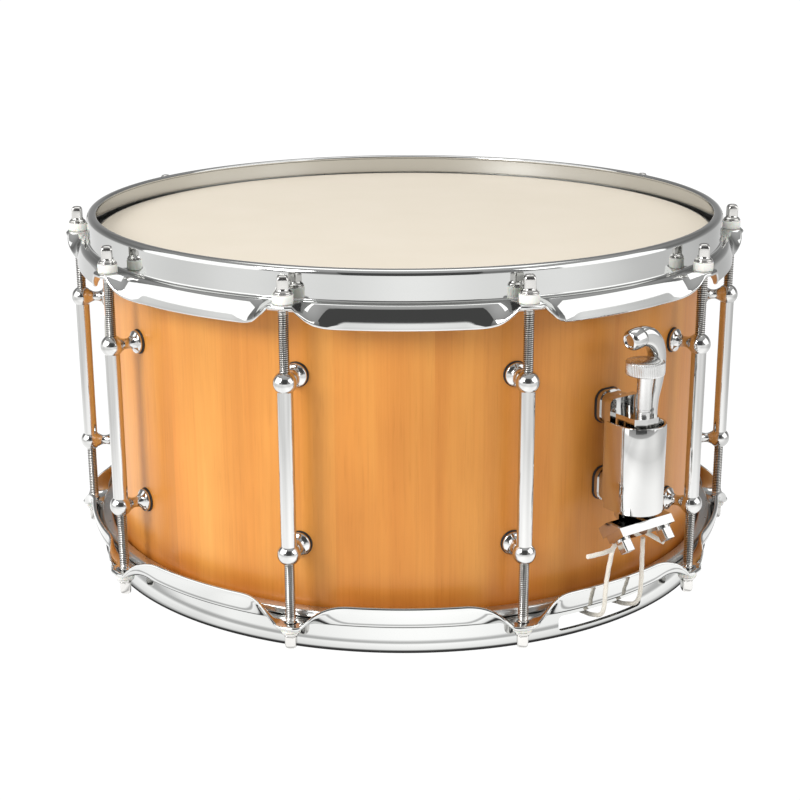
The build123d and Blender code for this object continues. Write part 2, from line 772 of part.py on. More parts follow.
# ---- butt plate, opposite the strainer ----
BUTT_TOP = -34.0
BUTT_BOTTOM = -66.0
BUTT_FRONT = 190.5
BUTT_PLATE_THICK = 5.0
BUTT_FOOT_RADIUS = 6.6
with BuildPart() as butt_base:
    for height in BUTT_SCREWS:
        with BuildSketch(Plane.YZ.offset(POST_BACK)):
            with Locations((0, height)):
                Circle(BUTT_FOOT_RADIUS)
        extrude(amount=BUTT_FRONT - POST_BACK - 4)
    with BuildSketch(Plane.YZ.offset(BUTT_FRONT - BUTT_PLATE_THICK)):
        with Locations((0, (BUTT_TOP + BUTT_BOTTOM) / 2)):
            RectangleRounded(2 * CLAMP_HALF, BUTT_TOP - BUTT_BOTTOM, 4.0)
    extrude(amount=BUTT_PLATE_THICK)
    for height in BUTT_SCREWS:
        with BuildSketch(Plane.YZ.offset(POST_BACK)):
            with Locations((0, height)):
                Circle(SCREW_RADIUS)
        extrude(amount=SCREW_DEPTH + 0.5, mode=Mode.SUBTRACT)
    front_edges = butt_base.faces().sort_by(Axis.X)[-1].edges()
    fillet(front_edges, radius=1.2)
save(at_angle(butt_base.part, BUTT_ANGLE), "butt_base")
butt_gaskets = pair(make_round_gasket(BUTT_FOOT_RADIUS + 0.4), BUTT_SCREWS)
save(at_angle(butt_gaskets, BUTT_ANGLE), "butt_gaskets")
save(at_angle(pair(base_screw, BUTT_SCREWS), BUTT_ANGLE), "butt_screws")

BUTT_GAP = 2.5
BUTT_PLATE_Z = -55.0
BUTT_CLAMP_WIDTH = 14.0
BUTT_CLAMP_THICK = 3.0
BUTT_SCREW_SEAT = BUTT_FRONT + BUTT_GAP + BUTT_CLAMP_THICK + 0.05
with BuildPart() as butt_clamp_plate:
    with BuildSketch(Plane.YZ.offset(BUTT_FRONT + BUTT_GAP)):
        with Locations((0, BUTT_PLATE_Z)):
            RectangleRounded(2 * CLAMP_HALF, BUTT_CLAMP_WIDTH, 3.0)
    extrude(amount=BUTT_CLAMP_THICK)
save(at_angle(butt_clamp_plate.part, BUTT_ANGLE), "butt_clamp_plate")

with BuildPart() as butt_clamp_screws:
    with BuildSketch(Plane.YZ.offset(BUTT_SCREW_SEAT)):
        with Locations((CLAMP_SCREW_T, BUTT_PLATE_Z), (-CLAMP_SCREW_T, BUTT_PLATE_Z)):
            Circle(KEY_SCREW_COLLAR)
    extrude(amount=1.2)
    with BuildSketch(Plane.YZ.offset(BUTT_SCREW_SEAT)):
        with Locations((CLAMP_SCREW_T, BUTT_PLATE_Z), (-CLAMP_SCREW_T, BUTT_PLATE_Z)):
            RectangleRounded(KEY_SCREW_SIZE, KEY_SCREW_SIZE, 1.0)
    extrude(amount=KEY_SCREW_HEIGHT)
save(at_angle(butt_clamp_screws.part, BUTT_ANGLE), "butt_clamp_screws")

# ---- snare wires, along the strainer's axis under the lower head ----
WIRE_RADIUS = 0.8
WIRE_HALF = 156.0
WIRE_Z = -90.15
PLATE_IN = 147.0
PLATE_OUT = 159.0
PLATE_WIDTH = WIRE_COUNT * WIRE_PITCH
with BuildPart() as snare_wires:
    with BuildSketch(Plane.YZ.offset(-WIRE_HALF)):
        with Locations((0, WIRE_Z)):
            with GridLocations(WIRE_PITCH, 1, WIRE_COUNT, 1):
                Circle(WIRE_RADIUS)
    extrude(amount=2 * WIRE_HALF)
save(at_angle(snare_wires.part, STRAINER_ANGLE), "snare_wires")

with BuildPart() as snare_end_plates:
    with BuildSketch(Plane.XY.offset(WIRE_Z - WIRE_RADIUS - 1.05)):
        for side in (1, -1):
            with Locations((side * (PLATE_IN + PLATE_OUT) / 2, 0)):
                RectangleRounded(PLATE_OUT - PLATE_IN, PLATE_WIDTH, 1.5)
    extrude(amount=1.0)
save(at_angle(snare_end_plates.part, STRAINER_ANGLE), "snare_end_plates")

# ---- snare cords: each is straight runs joined by tangent arcs ----
# Points are (outwards, sideways, height from mid height).
STRAINER_CORD_LEFT = [
    (150.0, -10.5, -93.4),
    (166.5, -11.0, -93.0),
    (183.0, -12.2, -91.9),
    (193.4, -13.2, -87.6),
    (194.6, -13.8, -75.5),
    (195.0, -13.0, -62.0),
    (197.0, -11.6, -48.5),
]
STRAINER_CORD_RIGHT = [
    (150.0, 10.5, -93.4),
    (166.5, 10.8, -93.0),
    (183.0, 11.4, -91.9),
    (193.4, 12.0, -87.6),
    (194.6, 12.2, -75.5),
    (195.0, 11.4, -62.0),
    (197.0, 9.4, -48.5),
]
BUTT_CORD_LEFT = [
    (150.0, -10.5, -93.4),
    (166.5, -10.7, -93.0),
    (183.0, -11.0, -91.9),
    (192.8, -11.1, -87.6),
    (193.2, -11.0, -76.0),
    (191.8, -10.8, -62.5),
    (191.8, -10.4, -50.0),
]
BUTT_CORD_RIGHT = [
    (150.0, 10.5, -93.4),
    (166.5, 10.8, -93.0),
    (183.0, 11.2, -91.9),
    (192.8, 11.0, -87.6),
    (193.2, 10.8, -76.0),
    (191.8, 10.9, -62.5),
    (191.8, 10.5, -50.0),
]


def corner_radii(points):
    """Each corner's arc takes 0.45 of its shorter run at both sides."""
    radii = []
    for before, corner, after in zip(points, points[1:], points[2:]):
        into = Vector(*corner) - Vector(*before)
        out_of = Vector(*after) - Vector(*corner)
        half_turn = radians(into.get_angle(out_of)) / 2
        shorter = min(into.length, out_of.length)
        radii.append(0.45 * shorter * cos(half_turn) / sin(half_turn))
    return radii


def make_cord(name, points, angle):
    """A round cord along straight runs and tangent arcs."""
    radii = corner_radii(points)
    with BuildPart() as cord:
        with BuildLine() as route:
            FilletPolyline(*points, radius=radii)
        path = route.wires()[0]
        with BuildSketch(Plane(origin=path @ 0, z_dir=path % 0)):
            Circle(CORD_RADIUS)
        sweep(path=path)
    tidy = [round(radius, 1) for radius in radii]
    expected = pi * CORD_RADIUS**2 * path.length
    print(name, "radii", tidy, "length", round(path.length, 1))
    print(name, "volume", round(cord.part.volume, 1), "of", round(expected, 1))
    save(at_angle(cord.part, angle), name)


make_cord("strainer_cord_left", STRAINER_CORD_LEFT, STRAINER_ANGLE)
make_cord("strainer_cord_right", STRAINER_CORD_RIGHT, STRAINER_ANGLE)
make_cord("butt_cord_left", BUTT_CORD_LEFT, BUTT_ANGLE)
make_cord("butt_cord_right", BUTT_CORD_RIGHT, BUTT_ANGLE)
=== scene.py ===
import random
from math import atan2, cos, degrees, pi, radians, sin, sqrt, tan

import bmesh
import bpy
from mathutils import Matrix, Vector


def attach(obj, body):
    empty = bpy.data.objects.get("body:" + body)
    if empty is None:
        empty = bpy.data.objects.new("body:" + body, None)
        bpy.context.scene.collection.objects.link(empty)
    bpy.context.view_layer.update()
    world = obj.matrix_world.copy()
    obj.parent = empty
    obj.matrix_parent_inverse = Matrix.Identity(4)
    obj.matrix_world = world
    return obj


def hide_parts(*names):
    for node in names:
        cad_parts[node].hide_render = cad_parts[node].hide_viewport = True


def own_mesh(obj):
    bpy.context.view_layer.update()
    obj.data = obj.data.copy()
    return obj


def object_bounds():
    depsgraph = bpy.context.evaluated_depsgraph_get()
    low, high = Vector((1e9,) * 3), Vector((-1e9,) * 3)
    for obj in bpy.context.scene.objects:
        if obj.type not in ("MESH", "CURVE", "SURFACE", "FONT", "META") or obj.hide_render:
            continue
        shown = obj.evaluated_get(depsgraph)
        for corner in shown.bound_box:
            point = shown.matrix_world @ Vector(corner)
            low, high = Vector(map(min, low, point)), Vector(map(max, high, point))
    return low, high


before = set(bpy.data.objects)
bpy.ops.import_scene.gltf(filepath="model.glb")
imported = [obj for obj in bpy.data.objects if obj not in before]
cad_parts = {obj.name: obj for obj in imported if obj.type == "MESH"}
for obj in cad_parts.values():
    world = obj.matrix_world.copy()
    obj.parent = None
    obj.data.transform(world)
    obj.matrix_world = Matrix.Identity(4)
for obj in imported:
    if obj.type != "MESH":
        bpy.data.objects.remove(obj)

cad_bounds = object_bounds()

# A snare drum. Lengths are written in millimetres and multiplied by MM.
# A place on the drum is (outwards, sideways, height above the middle), turned to an angle
# that is counted from the front (-Y) towards +X.
MM = 0.001
low, high = cad_bounds
MID = (low[2] + high[2]) / 2
LUG_ANGLES = [18.0 + 36.0 * k for k in range(10)]
STRAINER = 36.0
BUTT = 216.0
BADGE = -72.0

SHELL_R = 176.2
SHELL_IN = 168.7
SHELL_HALF = 88.9
LUG_R = 192.0
LUG_HALF = 45.0
HOOP_SHEET = 2.3
HOOP_TOP = 101.0
FLANGE_TOP = 85.0
COLLAR_R = 183.3
LIP_R = 177.8
KNOB_AXIS = 203.0
ROD_R = 2.745
THREAD_DEPTH = 0.5
THREAD_PITCH = 25.4 / 24
IDENTITY = Matrix.Identity(4)


# ---------- places
def turn(angle, x=0.0, z=0.0):
    """Matrix from a piece made on +X about mid height to its angle round the drum."""
    middle = Matrix.Translation((0, 0, MID)) @ Matrix.Rotation(radians(angle - 90), 4, "Z")
    return middle @ Matrix.Translation((x * MM, 0, z * MM))


def flip():
    """Turns a piece for the upper end into the one for the lower end."""
    mid = Matrix.Translation((0, 0, MID))
    return mid @ Matrix.Rotation(pi, 4, "X") @ mid.inverted()


# ---------- materials
class Nodes:
    """A node tree with helpers that add nodes and join their sockets."""

    def __init__(self, tree):
        self.nodes = tree.nodes
        self.links = tree.links

    def node(self, kind, **values):
        made = self.nodes.new(kind)
        for key, value in values.items():
            if hasattr(made, key):
                setattr(made, key, value)
            else:
                made.inputs[key.replace("_", " ")].default_value = value
        return made

    def link(self, source, target):
        self.links.new(source, target)

    def feed(self, socket, value):
        """Give a socket its number, colour or source."""
        if isinstance(value, (int, float)):
            socket.default_value = value
        elif isinstance(value, tuple):
            socket.default_value = (*value, 1.0)
        else:
            self.link(value, socket)

    def join(self, made, *values):
        """Feed a node's first inputs."""
        for socket, value in zip(made.inputs, values):
            self.feed(socket, value)
        return made.outputs[0]

    def math(self, operation, *values):
        return self.join(self.node("ShaderNodeMath", operation=operation), *values)

    def radius(self, x, y):
        squares = [self.math("MULTIPLY", side, side) for side in (x, y)]
        return self.math("SQRT", self.math("ADD", *squares))

    def axes(self, vector):
        made = self.node("ShaderNodeSeparateXYZ")
        self.join(made, vector)
        return made.outputs

    def position(self):
        return self.node("ShaderNodeTexCoord").outputs["Object"]

    def noise(self, scale, detail, rough=0.55, vector=None):
        made = self.node("ShaderNodeTexNoise", Scale=scale, Detail=detail, Roughness=rough)
        self.link(self.position() if vector is None else vector, made.inputs["Vector"])
        return made.outputs["Fac"]

    def ramp(self, factor, stops):
        """A colour ramp of (place, colour) or (place, grey level)."""
        made = self.node("ShaderNodeValToRGB")
        elements = made.color_ramp.elements
        while len(elements) < len(stops):
            elements.new(0.5)
        for element, (where, color) in zip(elements, stops):
            element.position = where
            element.color = (*color, 1.0) if isinstance(color, tuple) else (color, color, color, 1.0)
        return self.join(made, factor)

    def spread(self, factor, lowest, highest):
        """From lowest to highest as a factor goes from 0 to 1."""
        return self.join(self.node("ShaderNodeMapRange", To_Min=lowest, To_Max=highest), factor)

    def share(self, value, lowest, highest, curve="LINEAR"):
        """From 0 to 1 as a value goes from lowest to highest."""
        made = self.node("ShaderNodeMapRange", interpolation_type=curve, From_Min=lowest, From_Max=highest)
        return self.join(made, value)

    def mix(self, factor, a, b, blend="MIX"):
        made = self.node("ShaderNodeMix", data_type="RGBA", blend_type=blend)
        for index, value in ((0, factor), (6, a), (7, b)):
            self.feed(made.inputs[index], value)
        return made.outputs[2]


class Shader(Nodes):
    """A material with a Principled shader."""

    def __init__(self, name, color, metallic=0.0, roughness=0.4):
        self.mat = bpy.data.materials.new(name)
        self.mat.use_nodes = True
        super().__init__(self.mat.node_tree)
        self.bsdf = self.nodes["Principled BSDF"]
        self.set("Base Color", (*color, 1.0))
        self.set("Metallic", metallic)
        self.set("Roughness", roughness)
        self.mat.diffuse_color = (*color, 1.0)

    def set(self, socket, value):
        self.bsdf.inputs[socket].default_value = value

    def paint(self, color):
        self.link(color, self.bsdf.inputs["Base Color"])

    def gloss(self, factor, lowest, highest):
        self.link(self.spread(factor, lowest, highest), self.bsdf.inputs["Roughness"])

    def bump(self, height, strength, distance):
        made = self.node("ShaderNodeBump", Strength=strength, Distance=distance)
        self.link(height, made.inputs["Height"])
        self.link(made.outputs[0], self.bsdf.inputs["Normal"])

    def surface(self, source):
        self.link(source, self.nodes["Material Output"].inputs["Surface"])


def chrome(name, color, low_rough, high_rough, scale):
    """Polished plating: faint smears in its gloss and a very slight ripple."""
    shader = Shader(name, color, metallic=1.0)
    shader.gloss(shader.noise(scale, 4.0), low_rough, high_rough)
    shader.bump(shader.noise(scale * 0.5, 1.0), 0.03, 0.0006)
    return shader.mat


def plated(name, color, rough):
    """Duller plated steel with a fine grain."""
    shader = Shader(name, color, metallic=1.0)
    grain = shader.noise(900.0, 3.0)
    shader.gloss(grain, rough * 0.7, rough * 1.4)
    shader.bump(grain, 0.12, 0.0002)
    return shader.mat


def threaded_steel():
    """Plated steel, with painted shade darkening the grooves of the rods' threads."""
    plain_above = 0.0795
    shader = Shader("rod_steel", (0.62, 0.61, 0.59), metallic=1.0)
    shader.gloss(shader.noise(900.0, 3.0), 0.10, 0.20)
    x, y, z = shader.axes(shader.position())
    plain = shader.math("MULTIPLY", shader.math("GREATER_THAN", z, plain_above), 1.0)
    reach = shader.math("ADD", shader.radius(x, y), plain)
    # painted shade: the colour darkens towards the bottom of each thread groove
    depth = shader.share(reach, (ROD_R - 0.42) * MM, (ROD_R - 0.08) * MM)
    shader.paint(shader.ramp(depth, [(0.0, (0.12, 0.115, 0.105)), (1.0, (0.66, 0.65, 0.63))]))
    return shader.mat


def wood():
    """Solid staves with upright grain under a satin lacquer, with painted shade darker at the foot."""
    staves, stave_shift = 22, 0.011
    shade_bottom, shade_top = -0.086, -0.056
    shader = Shader("shell_maple", (0.66, 0.33, 0.10), roughness=0.34)
    x, y, z = shader.axes(shader.position())
    around = shader.math("MULTIPLY", shader.math("ARCTAN2", y, x), SHELL_R * MM)
    radial = shader.radius(x, y)
    stave_width = 2 * pi * SHELL_R * MM / staves
    stave = shader.math("FLOOR", shader.math("DIVIDE", shader.math("ADD", around, stave_shift), stave_width))
    tint = shader.node("ShaderNodeTexWhiteNoise", noise_dimensions="1D")
    shader.link(stave, tint.inputs["W"])
    tint = tint.outputs["Value"]
    shift = shader.math("MULTIPLY", tint, 7.0)

    def grain(across, along, detail, rough):
        """Noise stretched along the upright grain, shifted from stave to stave."""
        made = shader.node("ShaderNodeCombineXYZ")
        shader.link(shader.math("MULTIPLY", around, across), made.inputs[0])
        shader.link(shader.math("ADD", shader.math("MULTIPLY", radial, across), shift), made.inputs[1])
        shader.link(shader.math("ADD", shader.math("MULTIPLY", z, along), shift), made.inputs[2])
        return shader.noise(1.0, detail, rough, made.outputs[0])

    fibre = grain(760.0, 12.0, 5.0, 0.62)
    # painted shade: the wood colour darkens towards the foot of the shell
    foot = shader.share(z, shade_bottom, shade_top, "SMOOTHSTEP")
    tone = shader.ramp(grain(42.0, 3.2, 4.0, 0.55), [
        (0.22, (0.590, 0.218, 0.036)),
        (0.45, (0.655, 0.263, 0.048)),
        (0.62, (0.708, 0.311, 0.063)),
        (0.80, (0.770, 0.368, 0.084)),
    ])
    for strength, factor, stops in (
        (0.75, grain(16.0, 9.0, 3.0, 0.5), [(0.30, (0.86, 0.84, 0.80)), (0.70, (1.10, 1.10, 1.12))]),
        (0.45, fibre, [(0.32, (0.88, 0.82, 0.74)), (0.55, (1.0, 1.0, 1.0)), (0.85, (1.04, 1.04, 1.02))]),
        (0.28, grain(900.0, 40.0, 2.0, 0.6), [(0.30, (0.80, 0.72, 0.60)), (0.42, (1.0, 1.0, 1.0))]),
        (0.9, tint, [(0.0, (0.93, 0.91, 0.88)), (1.0, (1.06, 1.06, 1.07))]),
        # last pass: the painted shade at the foot
        (1.0, foot, [(0.0, (0.78, 0.62, 0.47)), (1.0, (1.0, 1.0, 1.0))]),
    ):
        tone = shader.mix(strength, tone, shader.ramp(factor, stops), "MULTIPLY")
    shader.paint(tone)
    shader.gloss(fibre, 0.28, 0.42)
    shader.set("Coat Weight", 0.12)
    shader.set("Coat Roughness", 0.2)
    shader.set("Specular IOR Level", 0.3)
    shader.bump(fibre, 0.10, 0.0004)
    return shader.mat


def coated_head():
    """Cream film with a sprayed, slightly gritty coating."""
    shader = Shader("batter_coating", (0.80, 0.715, 0.60), roughness=0.55)
    grit = shader.noise(2600.0, 2.0)
    cloud = shader.noise(22.0, 4.0)
    shader.paint(shader.ramp(cloud, [(0.3, (0.695, 0.624, 0.510)), (0.7, (0.715, 0.644, 0.534))]))
    shader.gloss(grit, 0.46, 0.66)
    shader.bump(grit, 0.25, 0.0002)
    return shader.mat


def clear_film():
    """Thin hazy film of the snare side."""
    shader = Shader("snare_film", (0.86, 0.87, 0.86), roughness=0.22)
    shader.gloss(shader.noise(60.0, 3.0), 0.16, 0.30)
    shader.set("Transmission Weight", 0.35)
    shader.set("Alpha", 0.8)
    shader.set("IOR", 1.3)
    return shader.mat


def nylon():
    """White washers, faintly mottled and a little translucent."""
    shader = Shader("white_nylon", (0.84, 0.83, 0.78), roughness=0.38)
    mottle = shader.noise(300.0, 3.0)
    shader.paint(shader.ramp(mottle, [(0.3, (0.80, 0.79, 0.73)), (0.7, (0.87, 0.865, 0.82))]))
    shader.set("Subsurface Weight", 0.15)
    shader.set("Subsurface Scale", 0.002)
    shader.bump(mottle, 0.08, 0.0002)
    return shader.mat


def rubber():
    """Black gaskets with a fine grain."""
    shader = Shader("black_rubber", (0.012, 0.012, 0.013), roughness=0.6)
    grain = shader.noise(1500.0, 2.0)
    shader.gloss(grain, 0.5, 0.75)
    shader.bump(grain, 0.15, 0.0002)
    return shader.mat


def braid():
    """Off-white braided cord, uneven from yarn to yarn."""
    shader = Shader("cord_braid", (0.80, 0.76, 0.67), roughness=0.75)
    weave = shader.noise(1800.0, 2.0)
    shader.paint(shader.ramp(weave, [(0.3, (0.70, 0.655, 0.56)), (0.65, (0.86, 0.825, 0.745))]))
    shader.set("Sheen Weight", 0.35)
    shader.bump(weave, 0.5, 0.0003)
    return shader.mat


def satin_badge():
    """Nickel with a fine brushed grain."""
    shader = Shader("badge_nickel", (0.62, 0.60, 0.55), metallic=1.0, roughness=0.3)
    brush = shader.node("ShaderNodeMapping", Scale=(1.0, 1.0, 60.0))
    shader.link(shader.position(), brush.inputs["Vector"])
    lines = shader.noise(40.0, 2.0, vector=brush.outputs[0])
    shader.gloss(lines, 0.22, 0.40)
    shader.bump(lines, 0.08, 0.0002)
    return shader.mat


HOOP = chrome("hoop_plating", (0.61, 0.615, 0.605), 0.035, 0.08, 40.0)
LUG = chrome("lug_plating", (0.62, 0.62, 0.61), 0.03, 0.07, 120.0)
STRAINER_CHROME = chrome("strainer_plating", (0.61, 0.61, 0.60), 0.03, 0.09, 150.0)
KNOB = chrome("knob_plating", (0.68, 0.68, 0.67), 0.20, 0.32, 300.0)
ROD = threaded_steel()
SCREW = plated("zinc_screw", (0.48, 0.48, 0.46), 0.30)
RING = chrome("flesh_aluminium", (0.66, 0.655, 0.64), 0.24, 0.34, 200.0)
WIRE = plated("snare_wire", (0.55, 0.55, 0.55), 0.25)
BRASS = plated("end_plate_brass", (0.75, 0.60, 0.33), 0.30)
WOOD = wood()
COATING = coated_head()
FILM = clear_film()
NYLON = nylon()
RUBBER = rubber()
BRAID = braid()
NICKEL = satin_badge()


# ---------- mesh building
def smooth_mesh(mesh, sharp_angle):
    """Smooth shading, with edges sharper than an angle left sharp."""
    mesh.polygons.foreach_set("use_smooth", [True] * len(mesh.polygons))
    if sharp_angle is not None:
        mesh.set_sharp_from_angle(angle=radians(sharp_angle))
    mesh.update()


def finish_mesh(mesh, material, sharp_angle=35):
    mesh.materials.append(material)
    mesh.validate()
    smooth_mesh(mesh, sharp_angle)
    return mesh


def mesh_from(name, verts, faces, material, sharp_angle=35, unit=MM):
    mesh = bpy.data.meshes.new(name)
    mesh.from_pydata([Vector(v) * unit for v in verts], [], faces)
    return finish_mesh(mesh, material, sharp_angle)


def solid_mesh(name, shape, material, sharp_angle=35, weld=False):
    """A mesh from (verts, faces) in millimetres whose faces all point outwards."""
    mesh = mesh_from(name, *shape, material, sharp_angle)
    clean = bmesh.new()
    clean.from_mesh(mesh)
    if weld:
        bmesh.ops.remove_doubles(clean, verts=clean.verts, dist=1e-7)
    bmesh.ops.recalc_face_normals(clean, faces=clean.faces)
    clean.to_mesh(mesh)
    clean.free()
    smooth_mesh(mesh, sharp_angle)
    return mesh


def merged(name, parts, material):
    """One mesh from (mesh, matrix) pairs."""
    joined = bmesh.new()
    for mesh, matrix in parts:
        part = mesh.copy()
        part.transform(matrix)
        joined.from_mesh(part)
        bpy.data.meshes.remove(part)
    out = bpy.data.meshes.new(name)
    joined.to_mesh(out)
    joined.free()
    return finish_mesh(out, material)


def add(name, data):
    """A new object in the scene."""
    made = bpy.data.objects.new(name, data)
    bpy.context.scene.collection.objects.link(made)
    return made


def place(name, mesh, matrix, body="drum", node=None):
    """Link a mesh as a piece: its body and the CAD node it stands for."""
    piece = add(name, mesh)
    piece.matrix_world = matrix
    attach(piece, body)
    if node:
        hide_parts(node)
    return piece


def place_copies(name, mesh, matrices, material, node):
    """Copies of one mesh as a single piece."""
    copies = merged(name, [(mesh, matrix) for matrix in matrices], material)
    place(name, copies, IDENTITY, node=node)


def grid_faces(columns, rows, wrap_columns=True, wrap_rows=False):
    """Quads of a grid whose vertex (column, row) is column * rows + row."""
    faces = []
    for c in range(columns if wrap_columns else columns - 1):
        for r in range(rows if wrap_rows else rows - 1):
            d = (c + 1) % columns
            s = (r + 1) % rows
            faces.append((c * rows + r, d * rows + r, d * rows + s, c * rows + s))
    return faces


def tube_faces(rings, steps):
    """Faces of a closed tube whose vertex (ring, step) is ring * steps + step."""
    faces = []
    for r in range(rings - 1):
        for s in range(steps):
            t = (s + 1) % steps
            faces.append((r * steps + s, r * steps + t, (r + 1) * steps + t, (r + 1) * steps + s))
    faces.append(tuple(range(steps)))
    faces.append(tuple(range((rings - 1) * steps, rings * steps))[::-1])
    return faces


def circle(radius, steps, x=0.0, y=0.0):
    angles = [2 * pi * k / steps for k in range(steps)]
    return [(x + radius * cos(a), y + radius * sin(a)) for a in angles]


def lathe(profile, steps=64, closed=False, axis="Z"):
    """Verts and faces of a profile of (radius, height) turned about an axis.

    An open profile starts and ends on the axis or leaves an open edge.
    """
    verts = [(r * x, r * y, h) for x, y in circle(1.0, steps) for r, h in profile]
    faces = grid_faces(steps, len(profile), True, closed)
    if axis == "X":
        verts = [(z, x, y) for x, y, z in verts]
    return verts, faces


def lathe_mesh(name, profile, material, steps=64, closed=False, axis="Z", sharp_angle=35):
    return solid_mesh(name, lathe(profile, steps, closed, axis), material, sharp_angle, weld=True)


def arc(center, radius, start, end, steps):
    """Points of an arc, angles in degrees."""
    angles = [radians(start + (end - start) * k / steps) for k in range(steps + 1)]
    return [(center[0] + radius * cos(a), center[1] + radius * sin(a)) for a in angles]


def rounded(points, radius, steps=4):
    """A closed outline with each corner rounded by the same radius, or by its own third value."""
    out = []
    for k, point in enumerate(points):
        near = (points[k - 1], point, points[(k + 1) % len(points)])
        before, corner, after = (Vector(p[:2]) for p in near)
        r = point[2] if len(point) > 2 else radius
        into = (before - corner).normalized()
        away = (after - corner).normalized()
        half = into.angle(away) / 2
        if r <= 0 or half > radians(89):
            out.append(tuple(corner))
            continue
        reach = min(r / tan(half), 0.49 * (before - corner).length, 0.49 * (after - corner).length)
        r = reach * tan(half)
        centre = corner + (into + away).normalized() * (r / sin(half))
        first = corner + into * reach - centre
        last = corner + away * reach - centre
        start = degrees(atan2(first.y, first.x))
        sweep = (degrees(atan2(last.y, last.x)) - start + 180) % 360 - 180
        out += arc(centre, r, start, start + sweep, steps)
    return out


def prism(outline, start, end, along_x=False):
    """Verts and faces of an outline extruded along Z, or along X."""
    verts = [(a, b, h) for h in (start, end) for a, b in outline]
    if along_x:
        verts = [(h, a, b) for a, b, h in verts]
    n = len(outline)
    faces = [(k, (k + 1) % n, n + (k + 1) % n, n + k) for k in range(n)]
    faces.append(tuple(range(n))[::-1])
    faces.append(tuple(range(n, 2 * n)))
    return verts, faces


def join(*shapes):
    """One (verts, faces) from several."""
    verts, faces = [], []
    for shape_verts, shape_faces in shapes:
        start = len(verts)
        verts += shape_verts
        faces += [tuple(start + i for i in face) for face in shape_faces]
    return verts, faces


# ---------- shell, heads and flesh hoops
def make_shell():
    """Solid shell, its edges cut at 45 degrees to both faces, with snare beds in the lower edge."""
    edge = 2.7
    ridge = SHELL_R - edge
    inner = ridge - SHELL_IN
    top = SHELL_HALF
    blunt = 0.4
    profile = (
        [(SHELL_R, edge - top), (SHELL_R, edge - top + 2)]
        + [(SHELL_R, z) for z in range(-80, 81, 20)]
        + [(SHELL_R, top - edge - 2), (SHELL_R, top - edge)]
        + [(ridge + blunt, top - blunt), (ridge, top), (ridge - blunt, top - blunt)]
        + [(SHELL_IN, top - inner), (SHELL_IN, top - inner - 2), (SHELL_IN, inner - top + 2)]
        + [(SHELL_IN, inner - top), (ridge - blunt, blunt - top), (ridge, -top), (ridge + blunt, blunt - top)]
    )
    mesh = lathe_mesh("shell_wood", profile, WOOD, 360, closed=True, sharp_angle=30)
    bed_depth, bed_spread, near_edge = 1.5, 800.0, -85
    for vert in mesh.vertices:
        x, y, z = vert.co / MM
        if z >= near_edge:
            continue
        angle = degrees(atan2(x, -y))
        for bed in (STRAINER, BUTT - 360):
            along = SHELL_R * radians((angle - bed + 180) % 360 - 180)
            vert.co.z += max(0.0, bed_depth - along * along / bed_spread) * MM
    place("shell_wood", mesh, turn(90), node="shell")


def film_profile(thick):
    """A head's film from its centre, over the bearing edge, to its collar in the flesh hoop."""
    bottom = SHELL_HALF + 0.05
    top = bottom + thick
    rim, bend = 177.95, 1.4
    outer = [(0.0, top), (60, top), (120, top), (rim - 4, top)]
    outer += arc((rim - bend, top - bend), bend, 90, 8, 6)
    inner = [(rim - thick, top - 1.3), (rim - thick - 1.0, bottom)]
    return outer + inner + [(120, bottom), (60, bottom), (0.0, bottom)]


def make_heads():
    """Both heads: the films, and the aluminium flesh hoops that hold them."""
    steps = 480
    lower = flip() @ turn(90)
    film = lathe_mesh("batter_film", film_profile(0.38), COATING, steps)
    place("batter_film", film, turn(90), node="batter_head")
    film = lathe_mesh("snare_side_film", film_profile(0.28), FILM, steps)
    place("snare_side_film", film, lower, node="snare_head")
    ring = [(178.0, 79.6, 0.1), (178.5, 79.0, 0.1), (178.5, 78.4, 0.3), (184.4, 78.4, 1.3)]
    ring += [(184.4, 82.5, 0.9), (178.6, 82.5, 0.4), (178.42, 88.9, 0.1), (178.0, 88.9, 0.1)]
    hoop = lathe_mesh("flesh_hoop", rounded(ring, 0.2, 3), RING, steps, closed=True)
    place("batter_flesh_hoop", hoop, turn(90), node="batter_head_ring")
    place("snare_flesh_hoop", hoop, lower, node="snare_head_ring")


# ---------- hoops
EAR_FLAT = 6.0
EAR_BEND = 31.0
EAR_EASE = 0.62
EAR_LENGTH = 15.3
EAR_WAIST = 1.6
SKIRT_LENGTH = 14.6
SKIRT_DROP = 89
STEPS_PER_LUG = 108
GATE_HALF = 29.0
GATE_LEAN = -1.2


def smooth_step(value):
    value = max(0.0, min(1.0, value))
    return value * value * (3 - 2 * value)


def hoop_centreline(bend, length):
    """Middle of the hoop's sheet as (r, z, heading): lip, collar, then a flange bent down by bend."""
    half = HOOP_SHEET / 2
    points = []
    r, z, heading = LIP_R + half, HOOP_TOP - half, 0.0

    def straight(distance, steps=1):
        nonlocal r, z
        for _ in range(steps):
            r += distance / steps * cos(heading)
            z += distance / steps * sin(heading)
            points.append((r, z, heading))

    def curve(angle, radius, steps):
        nonlocal r, z, heading
        for _ in range(steps):
            step = radians(angle) / steps
            chord = 2 * radius * sin(abs(step) / 2)
            heading += step / 2
            r += chord * cos(heading)
            z += chord * sin(heading)
            heading += step / 2
            points.append((r, z, heading))

    corner = 1.75
    points.append((r, z, heading))
    straight(COLLAR_R - half - corner - r)
    curve(-90, corner, 6)
    foot = 2.2
    straight(z - (FLANGE_TOP - half) - foot, 3)
    curve(90, foot, 6)
    lead = 0.1
    straight(lead)
    shoulder = 2.9
    gentle = 17 * bend / 90
    curve(gentle - bend, shoulder, 8)
    rest = length - foot - lead - shoulder * radians(bend - gentle)
    if gentle > 0.2:
        curve(-gentle, rest / radians(gentle), 6)
    else:
        straight(rest, 6)
    return points


